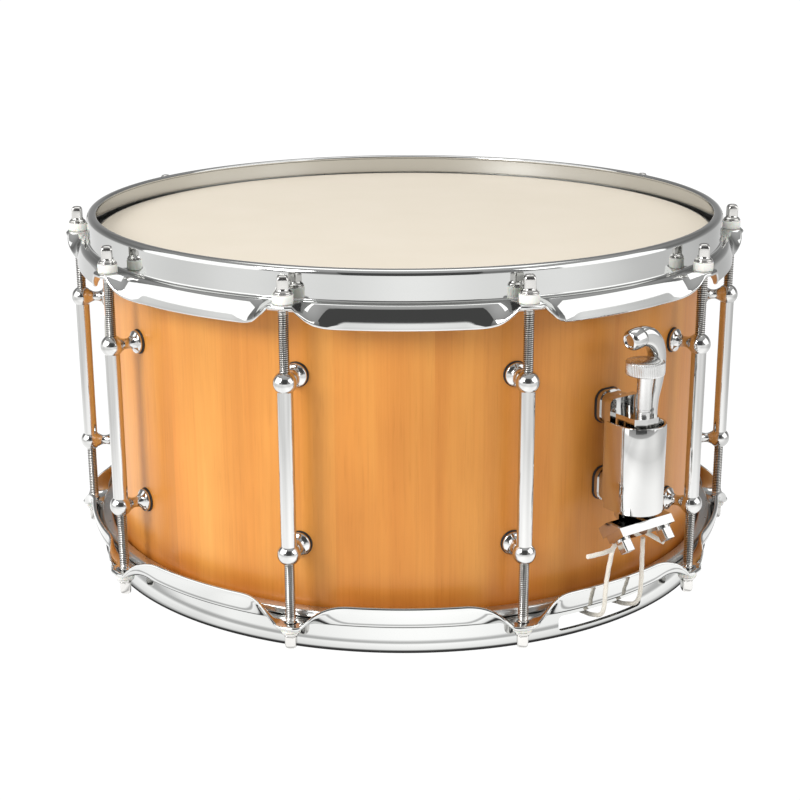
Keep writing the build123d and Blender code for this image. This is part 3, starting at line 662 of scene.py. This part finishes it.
def hoop_section(centreline):
    """Closed loop round the sheet: one face, a rounded edge, the other face, a rounded lip."""
    half = HOOP_SHEET / 2

    def side(points, reach):
        return [(r - reach * sin(a), z + reach * cos(a)) for r, z, a in points]

    def round_end(point, first):
        r, z, a = point
        turns = [a + radians(first - 30 * k) for k in range(1, 6)]
        return [(r + half * cos(t), z + half * sin(t)) for t in turns]

    front = side(centreline, half) + round_end(centreline[-1], 90)
    return front + side(centreline[::-1], -half) + round_end(centreline[0], -90)


def hoop_mesh(name):
    """A hoop bent from sheet; its flange lies flat at each rod and hangs as a skirt between."""
    step = 36 / STEPS_PER_LUG
    verts = []
    for lug in LUG_ANGLES:
        for k in range(STEPS_PER_LUG):
            away = step * (k + 0.5) - 18
            along = radians(abs(away)) * LUG_R
            down = smooth_step(max(0.0, (along - EAR_FLAT) / (EAR_BEND - EAR_FLAT)) ** EAR_EASE)
            length = EAR_LENGTH + (SKIRT_LENGTH - EAR_LENGTH) * smooth_step(along / EAR_BEND)
            length -= EAR_WAIST * smooth_step((along - 3.5) / 4.0) * (1 - down)
            loop = hoop_section(hoop_centreline(SKIRT_DROP * down, length))
            a = radians(lug + away - 90)
            verts += [(r * cos(a), r * sin(a), z) for r, z in loop]
    faces = grid_faces(len(LUG_ANGLES) * STEPS_PER_LUG, len(loop), True, True)
    return solid_mesh(name, (verts, faces), HOOP, None)


def cut_mesh(mesh, shapes):
    """What is left of a mesh when shapes are cut out of it, all in its own frame."""
    whole = add("whole", mesh)
    cutter = add("cutter", solid_mesh("cutter", join(*shapes), HOOP))
    made = whole.modifiers.new("cut", "BOOLEAN")
    made.operation = "DIFFERENCE"
    made.solver = "EXACT"
    made.object = cutter
    bpy.context.view_layer.update()
    left = bpy.data.meshes.new_from_object(whole.evaluated_get(bpy.context.evaluated_depsgraph_get()))
    for helper in (whole, cutter):
        used = helper.data
        bpy.data.objects.remove(helper)
        bpy.data.meshes.remove(used)
    smooth_mesh(left, 35)
    return left


def hole_cutter(angle):
    """A round hole through the flange for a rod."""
    a = radians(angle - 90)
    return prism(circle(3.4, 32, LUG_R * cos(a), LUG_R * sin(a)), 80, 88)


def gate_cutter(angle):
    """A rounded window through the collar."""
    outline = rounded([(-GATE_HALF, 88.0), (GATE_HALF, 88.0), (GATE_HALF, 96.5), (-GATE_HALF, 96.5)], 2.4, 5)
    verts, faces = prism(outline, 178.4, 186.0, True)
    around = Matrix.Rotation(radians(angle - 90), 3, "Z")
    return [around @ Vector(v) for v in verts], faces


def make_hoops():
    """Two like hoops, the lower one turned over and with a snare gate at each end of the wires."""
    holes = [hole_cutter(angle) for angle in LUG_ANGLES]
    gates = [gate_cutter(180 - end - GATE_LEAN) for end in (STRAINER, BUTT)]
    for name, node, cuts, matrix in (
        ("top_counter_hoop", "top_hoop", holes, turn(90)),
        ("bottom_counter_hoop", "bottom_hoop", holes + gates, flip() @ turn(90)),
    ):
        place(name, cut_mesh(hoop_mesh(name), cuts), matrix, node=node)


# ---------- lugs
def make_lugs():
    """Posts with balls, tubes between them, and what holds the posts to the shell."""
    back = SHELL_R + 0.8
    foot = [(0, 0), (5.7, 0), (6.1, 0.25), (6.25, 0.8), (6.2, 1.5), (5.9, 2.0), (5.0, 2.5), (4.0, 3.2)]
    foot += [(3.3, 4.3), (2.9, 5.6), (2.8, 7.0), (2.95, 8.2), (3.35, 9.2), (3.75, 9.9)]
    foot = [(r, back + h) for r, h in foot]
    ball = arc((0, LUG_R), 6.0, -48, 90, 23)
    post = lathe_mesh("post", foot + ball, LUG, 48, axis="X", sharp_angle=50)
    half = LUG_HALF + 4.7
    upper = [(4.0, half / 2), (4.0, half - 0.3), (3.75, half), (3.2, half), (2.9, half - 0.3)]
    lower = [(r, -h) for r, h in reversed(upper)]
    tube = lathe_mesh("tube", lower + [(4.0, 0)] + upper, LUG, 40, closed=True)
    ends = [turn(angle, 0, h) for angle in LUG_ANGLES for h in (LUG_HALF, -LUG_HALF)]
    middles = [turn(angle, LUG_R) for angle in LUG_ANGLES]
    for name, mesh, matrices, material, node, slot in (
        ("lug_posts_chrome", post, ends, LUG, "lug_posts", "lug_chrome"),
        ("lug_tubes_chrome", tube, middles, LUG, "lug_tubes", "lug_chrome"),
        ("lug_gaskets_black", gasket_mesh(6.7), ends, RUBBER, "lug_gaskets", "black_gasket"),
        ("lug_screws_steel", screw_mesh(), ends, SCREW, "lug_screws", "plated_screw"),
        ("lug_washers_steel", washer_mesh(), ends, SCREW, "lug_screw_washers", "plated_screw"),
    ):
        place_copies(name, mesh, matrices, material, node)


def gasket_mesh(radius):
    """A black washer that follows the round shell at its back."""
    bore, thick, soft = 2.2, 0.75, 0.2
    section = [(bore, 0), (radius - soft, 0), (radius, soft)]
    section += [(radius, thick - soft), (radius - soft, thick), (bore, thick)]
    front = SHELL_R + 0.78
    verts = []
    for x, y in circle(1.0, 48):
        for r, h in section:
            hug = sqrt(SHELL_R**2 - (r * x) ** 2) + 0.02
            verts.append((hug + (front - hug) * h / thick, r * x, r * y))
    return solid_mesh("gasket", (verts, grid_faces(48, len(section), True, True)), RUBBER)


def screw_mesh():
    """A hexagon-headed screw, put in from inside the shell."""
    back = SHELL_IN - 4.7
    head = prism(rounded(circle(4.0, 6), 0.3, 2), back, back + 3.2, True)
    shank = prism(circle(2.0, 20), back + 3.0, SHELL_R + 6.5, True)
    return solid_mesh("screw", join(head, shank), SCREW)


def washer_mesh():
    """The washer under a lug screw's head, with its rim broken by 0.1."""
    back, front = SHELL_IN - 1.4, SHELL_IN - 0.4
    ring = [(2.2, back), (5.4, back), (5.5, back + 0.1), (5.5, front - 0.1), (5.4, front), (2.2, front)]
    return lathe_mesh("washer", ring, SCREW, 40, closed=True, axis="X")


# ---------- tension rods
ROD_END = 35.0
PLAIN_BELOW_EAR = 0.9


def thread_shape(bottom, top, steps=28, per_turn=8, radius=ROD_R, depth=THREAD_DEPTH, pitch=THREAD_PITCH):
    """A threaded stretch about Z: a sharp ridge that winds up it, closed at both ends."""
    rows = int((top - bottom) / pitch * per_turn) + 1
    verts = []
    for k, (x, y) in enumerate(circle(1.0, steps)):
        for r in range(rows):
            h = bottom + (top - bottom) * r / (rows - 1)
            phase = ((h - bottom) / pitch - k / steps) % 1.0
            ridge = 1 - abs(2 * phase - 1)
            ends = min(1.0, (h - bottom) / pitch, (top - h) / pitch)
            reach = radius - depth * (1 - ridge * ends)
            verts.append((reach * x, reach * y, h))
    faces = grid_faces(steps, rows, True, False)
    faces.append(tuple(k * rows for k in range(steps))[::-1])
    faces.append(tuple(k * rows + rows - 1 for k in range(steps)))
    return verts, faces


def rod_mesh(nylon_height):
    """A tension rod on Z: threads, a plain shank, a bell collar and a square key head."""
    seat = FLANGE_TOP + nylon_height + 0.8 + 0.05
    plain = FLANGE_TOP - HOOP_SHEET - PLAIN_BELOW_EAR
    bell = [(4.45, 0.02), (4.6, 0.15), (4.6, 0.45), (4.35, 0.75), (3.9, 1.05), (3.5, 1.5)]
    bell += [(3.35, 2.2), (0, 2.2)]
    body = [(0, plain - 0.3), (2.2, plain - 0.3), (ROD_R, plain + 0.25), (ROD_R, seat + 0.1)]
    body += [(r, seat + h) for r, h in bell]
    top = seat + 8.75
    head = [(seat + 1.3, 5.4, 1.2), (seat + 1.7, 5.9, 0.9), (seat + 2.3, 5.9, 0.85), (top - 2.4, 5.8, 0.9)]
    head += [(top - 1.4, 5.6, 1.1), (top - 0.7, 5.1, 1.4), (top - 0.2, 4.2, 1.6), (top, 3.0, 1.3)]
    verts = []
    for z, size, soft in head:
        h = size / 2
        square = rounded([(-h, -h), (h, -h), (h, h), (-h, h)], soft, 4)
        verts += [(x, y, z) for x, y in square]
    key = (verts, tube_faces(len(head), len(square)))
    return solid_mesh("tension_rod", join(thread_shape(ROD_END, plain), lathe(body, 40), key), ROD, 40)


def rod_washer(name, radius, bottom, height, soft, steps, material):
    """A flat washer round a rod, with its edges softened."""
    top = bottom + height
    ring = rounded([(2.85, bottom + 0.02), (radius, bottom + 0.02), (radius, top), (2.85, top)], soft, steps)
    return lathe_mesh(name, ring, material, 40, closed=True)


def make_rods():
    """Every tension rod is a piece of its own; their washers are two joined pieces."""
    nylons, steels = [], []
    for end, nylon_height in (("top", 4.4), ("bottom", 2.2)):
        mesh = rod_mesh(nylon_height)
        nylon_ring = rod_washer("nylon_ring", 5.2, FLANGE_TOP, nylon_height, 0.35, 3, NYLON)
        steel_ring = rod_washer("steel_ring", 5.0, FLANGE_TOP + nylon_height, 0.78, 0.2, 2, ROD)
        for number, angle in enumerate(LUG_ANGLES, start=1):
            x, y = LUG_R * sin(radians(angle)), -LUG_R * cos(radians(angle))
            upright = Matrix.Translation((x * MM, y * MM, MID))
            matrix = upright if end == "top" else upright @ Matrix.Rotation(pi, 4, "X")
            name = f"tension_rod_{end}_{number:02d}"
            body = f"rod_{end}_{number:02d}"
            spin = Matrix.Rotation(random.Random(name).uniform(-0.16, 0.16), 4, "Z")
            place(f"{name}_threaded", mesh, matrix @ spin, body=body, node=name)
            nylons.append((nylon_ring, matrix))
            steels.append((steel_ring, matrix))
    nylon_rings = merged("rod_nylon_rings", nylons, NYLON)
    place("rod_nylon_rings", nylon_rings, IDENTITY, node="rod_nylon_washers")
    steel_rings = merged("rod_steel_rings", steels, ROD)
    place("rod_steel_rings", steel_rings, IDENTITY, node="rod_steel_washers")


# ---------- badge and vent
def make_badge():
    """A plain oval badge on the shell, and the vent grommet through it."""
    half_width, half_height, hole, steps = 16.5, 25.5, 4.6, 72
    rings = [(0.0, 0.0), (0.0, 0.55), (0.86, 0.55), (0.90, 0.85), (0.965, 0.85), (1.0, 0.5), (1.0, 0.0)]
    spot = turn(BADGE, 0, 22.0)
    verts = []
    for x, y in circle(1.0, steps):
        for size, rise in rings:
            across = half_width * size * x if size else hole * x
            up = half_height * size * y if size else hole * y
            verts.append((sqrt((SHELL_R + 0.05 + rise * 0.95) ** 2 - across * across), across, up))
    oval = solid_mesh("badge_oval", (verts, grid_faces(steps, len(rings), True, False)), NICKEL)
    place("badge_oval", oval, spot, node="badge")
    flange = [(3.2, 1.0), (3.4, 1.3), (4.2, 1.4), (5.2, 1.1), (6.0, 0.5), (6.2, 0), (4.4, 0)]
    rolled = [(4.4, -0.2), (6.3, -0.2), (6.4, -0.7), (6.0, -1.2)]
    profile = [(3.2, SHELL_IN - 1.2)] + [(r, SHELL_R + 0.95 + h) for r, h in flange]
    profile += [(r, SHELL_IN + h) for r, h in rolled]
    vent = lathe_mesh("vent", profile, LUG, 48, closed=True, axis="X")
    place("vent_grommet_chrome", vent, spot, node="vent_grommet")


# ---------- strainer
def dress_cad(node, material, width, segments=3):
    """A CAD node keeps its shape and gets a material and softly rounded edges."""
    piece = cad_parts[node]
    piece.data.materials.clear()
    piece.data.materials.append(material)
    made = piece.modifiers.new("edges", "BEVEL")
    made.width = width * MM
    made.segments = segments
    made.limit_method = "ANGLE"
    made.angle_limit = radians(35)
    made.harden_normals = True


COVER_HALF = 13.5
COVER_ROUND = 201.0
COVER_BACK = 190.6
COVER_TOP = 18.0
COVER_BOTTOM = -28.5
COVER_WALL = 1.5


def cover_outline(inset, steps=28):
    """Half-round front and straight sides, as seen from above."""
    half = COVER_HALF - inset
    return [(COVER_BACK, -half)] + arc((COVER_ROUND, 0), half, -90, 90, steps) + [(COVER_BACK, half)]


def cover_shape():
    """The lever's cover: a wall of even thickness, open at the back, with softened ends."""
    outer, inner = cover_outline(0), cover_outline(COVER_WALL)
    n = len(outer)
    soft = 0.45
    slight = soft * 0.3
    levels = [(COVER_BOTTOM, soft), (COVER_BOTTOM + slight, slight), (COVER_BOTTOM + soft, 0), (0.0, 0)]
    levels += [(COVER_TOP - soft, 0), (COVER_TOP - slight, slight), (COVER_TOP, soft)]
    loops = [(z, pull / COVER_WALL) for z, pull in levels]
    loops += [(z, 1 - pull / COVER_WALL) for z, pull in reversed(levels)]
    verts = []
    for z, share in loops:
        verts += [(*(o + (i - o) * share for o, i in zip(*pair)), z) for pair in zip(outer, inner)]
    count = len(loops)
    faces = []
    for i in range(count):
        j = (i + 1) % count
        faces += [(i * n + k, i * n + k + 1, j * n + k + 1, j * n + k) for k in range(n - 1)]
    for end in (0, n - 1):
        for i in range(count // 2 - 1):
            far = count - 1 - i
            faces.append((i * n + end, (i + 1) * n + end, (far - 1) * n + end, far * n + end))
    return verts, faces


def spline_points(points, count=90):
    """Evenly spread points of a Catmull-Rom curve through (y, z) pairs."""
    out = []
    padded = [points[0], *points, points[-1]]
    spans = len(points) - 1
    for k in range(count):
        s = k / (count - 1) * spans
        i = min(int(s), spans - 1)
        t = s - i
        spot = []
        for a, b, c, d in zip(*padded[i : i + 4]):
            bend = (2 * a - 5 * b + 4 * c - d) * t * t + (3 * b - a - 3 * c + d) * t**3
            spot.append(0.5 * (2 * b + (c - a) * t + bend))
        out.append(tuple(spot))
    return out


def soft_bar(inside, outside, middle, half, steps=28, box=3.0):
    """A bar between two edge lines in Y and Z, its section a box with well rounded corners."""
    verts = []
    for near, far in zip(inside, outside):
        centre = (Vector(near) + Vector(far)) / 2
        reach = (Vector(far) - Vector(near)) / 2
        for x, y in circle(1.0, steps):
            across = abs(x) ** (2 / box) * (1 if x >= 0 else -1)
            along = abs(y) ** (2 / box) * (1 if y >= 0 else -1)
            spot = centre + reach * across
            verts.append((middle + half * along, spot.x, spot.y))
    return verts, tube_faces(len(inside), steps)


HOOK_X = 198.3
BULB_CENTRE = Vector((HOOK_X, -2.8, 61.2))
BULB_LEAN = 8
HOOK_OUTSIDE = [
    (12.6, 8.0), (12.6, 15.5), (11.5, 21.0), (12.2, 28.5), (14.4, 36.0), (15.9, 43.0),
    (16.2, 49.5), (15.4, 55.5), (12.8, 61.0), (8.4, 65.2), (3.0, 66.8), (-2.8, 65.9),
]
HOOK_INSIDE = [
    (6.4, 8.0), (6.4, 15.5), (6.4, 21.0), (6.8, 29.0), (8.0, 36.5), (8.9, 43.0),
    (8.9, 48.0), (8.0, 51.6), (6.2, 54.4), (3.6, 56.2), (0.6, 56.8), (-2.8, 56.6),
]
BULB_PROFILE = [
    (0, -5.6), (2.6, -5.5), (4.3, -4.9), (5.2, -3.6), (5.5, -1.6), (5.5, 0.6), (5.4, 2.4),
    (5.0, 3.7), (4.3, 4.6), (3.7, 4.8), (3.2, 4.5), (2.9, 3.8), (1.6, 3.6), (0, 3.6),
]


def make_lever():
    """Cover, stem and hook in one casting, all chromed."""
    hook = soft_bar(spline_points(HOOK_INSIDE), spline_points(HOOK_OUTSIDE), HOOK_X, 4.5)
    verts, faces = lathe(BULB_PROFILE, 40)
    lean = Matrix.Rotation(radians(90 + BULB_LEAN), 3, "X")
    bulb = [BULB_CENTRE + lean @ Vector(v) for v in verts]
    mesh = solid_mesh("lever", join(cover_shape(), hook, (bulb, faces)), STRAINER_CHROME, 40)
    place("lever_hook_and_cover", mesh, turn(STRAINER), "lever", "strainer_lever")


def make_knob():
    """The knurled tension knob, its stem with a groove near the foot, and its screw."""
    ridges = 64
    steps = ridges * 6
    rim, stem, neck = 10.0, 3.8, 3.3
    profile = [(0, 50.55), (6.6, 50.55), (6.9, 50.45), (7.2, 50.55), (8.9, 50.6), (9.5, 50.4), (9.85, 50.05),
               (rim, 49.6), (rim, 48.2), (rim, 46.4), (rim, 44.6), (9.85, 44.1), (9.4, 43.65), (8.6, 43.5),
               (3.9, 43.5), (stem, 43.3), (stem, 26.2), (stem, 25.6), (neck, 25.3), (neck, 24.4),
               (stem, 24.1), (stem, 8.1), (0, 8.1)]
    verts = []
    for x, y in circle(1.0, steps):
        a = atan2(y, x)
        groove = 0.26 * (0.5 + 0.5 * cos(ridges * a))
        for r, z in profile:
            worn = groove if r > 9.9 else groove * 0.4 if r > 9.45 else 0.0
            verts.append(((r - worn) * x, (r - worn) * y, z))
    knob = (verts, grid_faces(steps, len(profile), True, False))
    screw = thread_shape(-17.5, 8.3, 24, 6, 2.5, 0.4, 0.8)
    mesh = solid_mesh("knob", join(knob, screw), KNOB, 32)
    place("knob_knurled", mesh, turn(STRAINER, KNOB_AXIS), "knob", "strainer_knob")


def make_strainer():
    """The throw-off: plain pieces keep their CAD shape, lever and knob are made anew."""
    heights = [turn(STRAINER, 0, h) for h in (21.0, -21.0)]
    place_copies("strainer_fixing_screws", screw_mesh(), heights, SCREW, "strainer_screws")
    for node, material, width, segments in (
        ("strainer_gaskets", RUBBER, 0.2, 3),
        ("strainer_base", STRAINER_CHROME, 0.5, 3),
        ("strainer_lever_pin", ROD, 0.3, 3),
        ("strainer_slide", STRAINER_CHROME, 0.3, 3),
        ("snare_clamp_block", STRAINER_CHROME, 0.4, 3),
        ("snare_clamp_plate", STRAINER_CHROME, 0.45, 3),
        ("snare_clamp_screws", ROD, 1.7, 5),
    ):
        dress_cad(node, material, width, segments)
    make_lever()
    make_knob()


def make_butt():
    """The plate that holds the cords at the far end of the wires."""
    heights = [turn(BUTT, 0, h) for h in (-42.0, -58.0)]
    place_copies("butt_gaskets_black", gasket_mesh(7.1), heights, RUBBER, "butt_gaskets")
    place_copies("butt_fixing_screws", screw_mesh(), heights, SCREW, "butt_screws")
    dress_cad("butt_base", STRAINER_CHROME, 0.5)
    dress_cad("butt_clamp_plate", STRAINER_CHROME, 0.6)
    dress_cad("butt_clamp_screws", ROD, 0.9, 4)


# ---------- snare wires
def make_wires():
    """Twenty coiled wires side by side under the lower head."""
    count, pitch, half = 20, 2.05, 156.0
    coil_r, wire_r, coil_pitch, height = 0.62, 0.18, 1.3, -90.15
    per_turn, around = 7, 4
    rows = int(2 * half / coil_pitch) * per_turn + 1
    coils = []
    for n in range(count):
        side = (n - (count - 1) / 2) * pitch
        verts = []
        for k in range(rows):
            a = 2 * pi * k / per_turn + n
            along = -half + 2 * half * k / (rows - 1)
            for x, y in circle(wire_r, around):
                r = coil_r + x
                verts.append((along + y, side + r * cos(a), height + r * sin(a)))
        coils.append((verts, tube_faces(rows, around)))
    mesh = mesh_from("wires", *join(*coils), WIRE, None)
    place("snare_wire_coils", mesh, turn(STRAINER), node="snare_wires")
    dress_cad("snare_end_plates", BRASS, 0.25, 2)


# ---------- snare cords
CORDS = {
    "strainer_cord_left": (STRAINER, [
        (150.0, -10.5, -93.4), (166.5, -11.0, -93.0), (183.0, -12.2, -91.9), (193.4, -13.2, -87.6),
        (194.6, -13.8, -75.5), (195.0, -13.0, -62.0), (197.0, -11.6, -48.5),
    ]),
    "strainer_cord_right": (STRAINER, [
        (150.0, 10.5, -93.4), (166.5, 10.8, -93.0), (183.0, 11.4, -91.9), (193.4, 12.0, -87.6),
        (194.6, 12.2, -75.5), (195.0, 11.4, -62.0), (197.0, 9.4, -48.5),
    ]),
    "butt_cord_left": (BUTT, [
        (150.0, -10.5, -93.4), (166.5, -10.7, -93.0), (183.0, -11.0, -91.9), (192.8, -11.1, -87.6),
        (193.2, -11.0, -76.0), (191.8, -10.8, -62.5), (191.8, -10.4, -50.0),
    ]),
    "butt_cord_right": (BUTT, [
        (150.0, 10.5, -93.4), (166.5, 10.8, -93.0), (183.0, 11.2, -91.9), (192.8, 11.0, -87.6),
        (193.2, 10.8, -76.0), (191.8, 10.9, -62.5), (191.8, 10.5, -50.0),
    ]),
}
TAILS = [
    [(197.0, -10.5, -47.5), (199.0, -13.0, -48.6), (200.3, -19.0, -48.4),
     (200.8, -26.0, -48.0), (201.0, -33.0, -47.4)],
    [(196.5, 5.5, -41.0), (200.5, 7.0, -43.4), (203.0, 9.5, -45.4),
     (204.8, 12.5, -47.4), (206.0, 15.5, -49.6)],
]
CORD_R = 1.2


def on_drum(points, angle):
    """Places on the drum, in metres."""
    return [turn(angle) @ (Vector(point) * MM) for point in points]


def smooth_route(points):
    """Points read from the NURBS curve whose control points are the route."""
    data = bpy.data.curves.new("route", "CURVE")
    data.dimensions = "3D"
    data.resolution_u = 28
    line = data.splines.new("NURBS")
    line.points.add(len(points) - 1)
    for control, point in zip(line.points, points):
        control.co = (*point, 1.0)
    line.order_u = 3
    line.use_endpoint_u = True
    holder = add("route", data)
    bpy.context.view_layer.update()
    mesh = bpy.data.meshes.new_from_object(holder.evaluated_get(bpy.context.evaluated_depsgraph_get()))
    path = [vert.co.copy() for vert in mesh.vertices]
    bpy.data.objects.remove(holder)
    bpy.data.curves.remove(data)
    bpy.data.meshes.remove(mesh)
    return path


def cord_shape(path, steps=15):
    """A tube of metres along a path of points, with closed ends and a twisted ribbing."""
    ribbing, twist = 0.06, 0.0012
    verts = []
    side = (path[1] - path[0]).normalized().orthogonal()
    travelled = 0.0
    for k, point in enumerate(path):
        ahead = (path[min(k + 1, len(path) - 1)] - path[max(k - 1, 0)]).normalized()
        travelled += (point - path[max(k - 1, 0)]).length
        side = (side - ahead * side.dot(ahead)).normalized()
        up = ahead.cross(side)
        for s, (x, y) in enumerate(circle(CORD_R * MM, steps)):
            swell = 1 + ribbing * cos(6 * pi * s / steps - travelled / twist)
            verts.append(point + side * (swell * x) + up * (swell * y))
    return verts, tube_faces(len(path), steps)


def make_cords():
    """Braided cords along smooth routes; the strainer's two cords get meshes of their own."""
    for name, (angle, points) in CORDS.items():
        spots = on_drum(points, angle)
        path = smooth_route(spots)
        mesh = mesh_from(name, *cord_shape(path), BRAID, 50, unit=1)
        piece = place(f"{name}_braid", mesh, IDENTITY, node=name)
        if name.startswith("strainer"):
            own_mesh(piece)


def make_tails():
    """The cords' free ends, which stick out of the clamp."""
    shape = join(*(cord_shape(smooth_route(on_drum(points, STRAINER))) for points in TAILS))
    mesh = mesh_from("tails", *shape, BRAID, 50, unit=1)
    place("snare_cord_tails", mesh, IDENTITY, body="clamp")


# ---------- studio
def make_floor():
    """White table: plain white to the camera, shaded in chrome by a painted contact shadow and a painted dark
    ring round the drum, dimmer as a source of bounced light.
    """
    shader = Shader("floor_white", (0.70, 0.70, 0.70), roughness=0.9)
    shader.set("Specular IOR Level", 0.0)
    away = shader.node("ShaderNodeVectorMath", operation="LENGTH")
    shader.link(shader.position(), away.inputs[0])
    away = away.outputs["Value"]
    # painted contact shadow: the glow is dark under and just round the drum, and a dark ring further out
    # shows as a painted dark line in the lower hoop
    painted_contact_shadow = shader.ramp(shader.share(away, 0.1750, 0.2250), [
        (0.0, 0.02), (0.20, 0.04), (0.27, 0.80), (0.40, 0.95), (0.44, 0.45), (0.48, 0.45),
        (0.53, 0.95), (1.0, 1.0),
    ])
    reach = shader.ramp(shader.share(away, 0.2, 1.0), [
        (0.0, 1.42), (0.2, 1.36), (0.4, 0.98), (0.75, 1.04), (1.0, 1.10),
    ])
    x, y, z = shader.axes(shader.position())
    bearing = shader.math("ARCTAN2", x, shader.math("MULTIPLY", y, -1.0))
    level = shader.ramp(shader.share(bearing, -pi, pi), [
        (0.0, 0.60), (0.17, 0.95), (0.25, 0.92), (0.33, 1.0), (0.39, 0.94), (0.405, 1.08),
        (0.5, 1.10), (0.60, 1.08), (0.70, 0.90), (0.76, 0.70), (0.85, 0.60), (1.0, 0.60),
    ])
    wave = shader.math("SINE", shader.math("MULTIPLY_ADD", bearing, 7.0, 1.2))
    bands = shader.math("MULTIPLY_ADD", wave, 0.07, 1.0)
    for factor in (painted_contact_shadow, reach, bands):
        level = shader.math("MULTIPLY", factor, level)
    path = shader.node("ShaderNodeLightPath").outputs
    glow = shader.node("ShaderNodeEmission")
    seen = shader.node("ShaderNodeMix")
    shader.link(path["Is Camera Ray"], seen.inputs[0])
    shader.link(level, seen.inputs[2])
    seen.inputs[3].default_value = 1.05
    shader.link(seen.outputs[0], glow.inputs["Strength"])
    top = shader.node("ShaderNodeMixShader")
    shader.join(top, path["Is Diffuse Ray"], glow.outputs[0], shader.bsdf.outputs[0])
    below = shader.node("ShaderNodeNewGeometry").outputs["Backfacing"]
    clear = shader.node("ShaderNodeBsdfTransparent").outputs[0]
    shader.surface(shader.join(shader.node("ShaderNodeMixShader"), below, top.outputs[0], clear))
    floor = panel("floor", 12.0, 12.0, shader.mat)
    floor.location.z = low[2] - 0.0002


def panel(name, width, height, material):
    """A flat rectangle about the origin."""
    w, h = width / 2, height / 2
    mesh = bpy.data.meshes.new(name)
    mesh.from_pydata([(-w, -h, 0), (w, -h, 0), (w, h, 0), (-w, h, 0)], [], [(0, 1, 2, 3)])
    mesh.materials.append(material)
    return add(name, mesh)


def aim(thing, centre, target, front):
    """Put a thing at its centre with its front axis towards a target."""
    thing.location = centre
    thing.rotation_euler = (Vector(target) - Vector(centre)).to_track_quat(front, "Y").to_euler()


def card(name, centre, width, height, level, target):
    """A panel that only chrome and lacquer can see."""
    shader = Shader(name, (level, level, level))
    glow = shader.node("ShaderNodeEmission", Color=(level, level, level, 1.0))
    shader.surface(glow.outputs[0])
    made = panel(name, width, height, shader.mat)
    aim(made, centre, target, "Z")
    made.visible_camera = False
    made.visible_diffuse = False
    made.visible_shadow = False
    made.visible_transmission = False


def area_light(name, centre, width, height, power):
    data = bpy.data.lights.new(name, "AREA")
    data.shape = "RECTANGLE"
    data.size = width
    data.size_y = height
    data.energy = power
    aim(add(name, data), centre, (0, 0, 0.1), "-Z")


def make_world():
    """White to the camera, graded from table to ceiling for light and for chrome."""
    world = bpy.data.worlds.new("studio")
    bpy.context.scene.world = world
    world.use_nodes = True
    tree = Nodes(world.node_tree)
    background = tree.nodes["Background"]
    background.inputs["Strength"].default_value = 1.0
    x, y, height = tree.axes(tree.node("ShaderNodeTexCoord").outputs["Generated"])
    shiny = tree.ramp(height, [(0.0, 0.55), (0.10, 0.36), (0.35, 0.20), (0.70, 0.42), (1.0, 0.60)])
    soft = tree.ramp(height, [(0.0, 0.47), (0.35, 0.75), (1.0, 1.15)])
    path = tree.node("ShaderNodeLightPath").outputs
    lit = tree.mix(path["Is Diffuse Ray"], shiny, soft)
    tree.link(tree.mix(path["Is Camera Ray"], lit, (1.0, 1.0, 1.0)), background.inputs["Color"])


def make_studio():
    make_floor()
    make_world()
    card("dark_front", (0.05, -1.7, 0.85), 1.5, 1.4, 0.085, (0, 0, 0.3))
    card("soft_left", (-1.6, -0.5, 0.80), 1.7, 1.5, 1.75, (0, 0, 0.3))
    card("soft_right", (1.6, -0.45, 0.80), 1.5, 1.4, 1.75, (0, 0, 0.3))
    card("soft_above", (0.0, 0.5, 1.9), 1.6, 1.0, 2.0, (0, 0, 0.1))
    area_light("key_left", (-1.25, -1.15, 1.15), 0.7, 0.9, 24)
    area_light("fill_right", (1.5, -1.2, 1.1), 0.7, 0.9, 6)


def make_camera():
    """The camera's distance, height and lens follow the view of the real drum."""
    scene = bpy.context.scene
    data = bpy.data.cameras.new("camera")
    data.lens = 73.31
    data.sensor_width = 36.0
    camera = add("camera", data)
    elevation, roll = radians(17.17), radians(-0.197)
    distance = 0.9890
    target = Vector((-3.09 * MM, 0.0, MID - 20.34 * MM))
    away = Vector((0.0, -cos(elevation), sin(elevation)))
    camera.location = target + away * distance
    look = (-away).to_track_quat("-Z", "Y").to_matrix().to_4x4()
    camera.rotation_euler = (look @ Matrix.Rotation(roll, 4, "Z")).to_euler()
    scene.camera = camera
    scene.view_settings.view_transform = "Standard"


make_camera()
make_cords()
make_tails()
make_shell()
make_heads()
make_hoops()
make_lugs()
make_rods()
make_badge()
make_strainer()
make_butt()
make_wires()
make_studio()
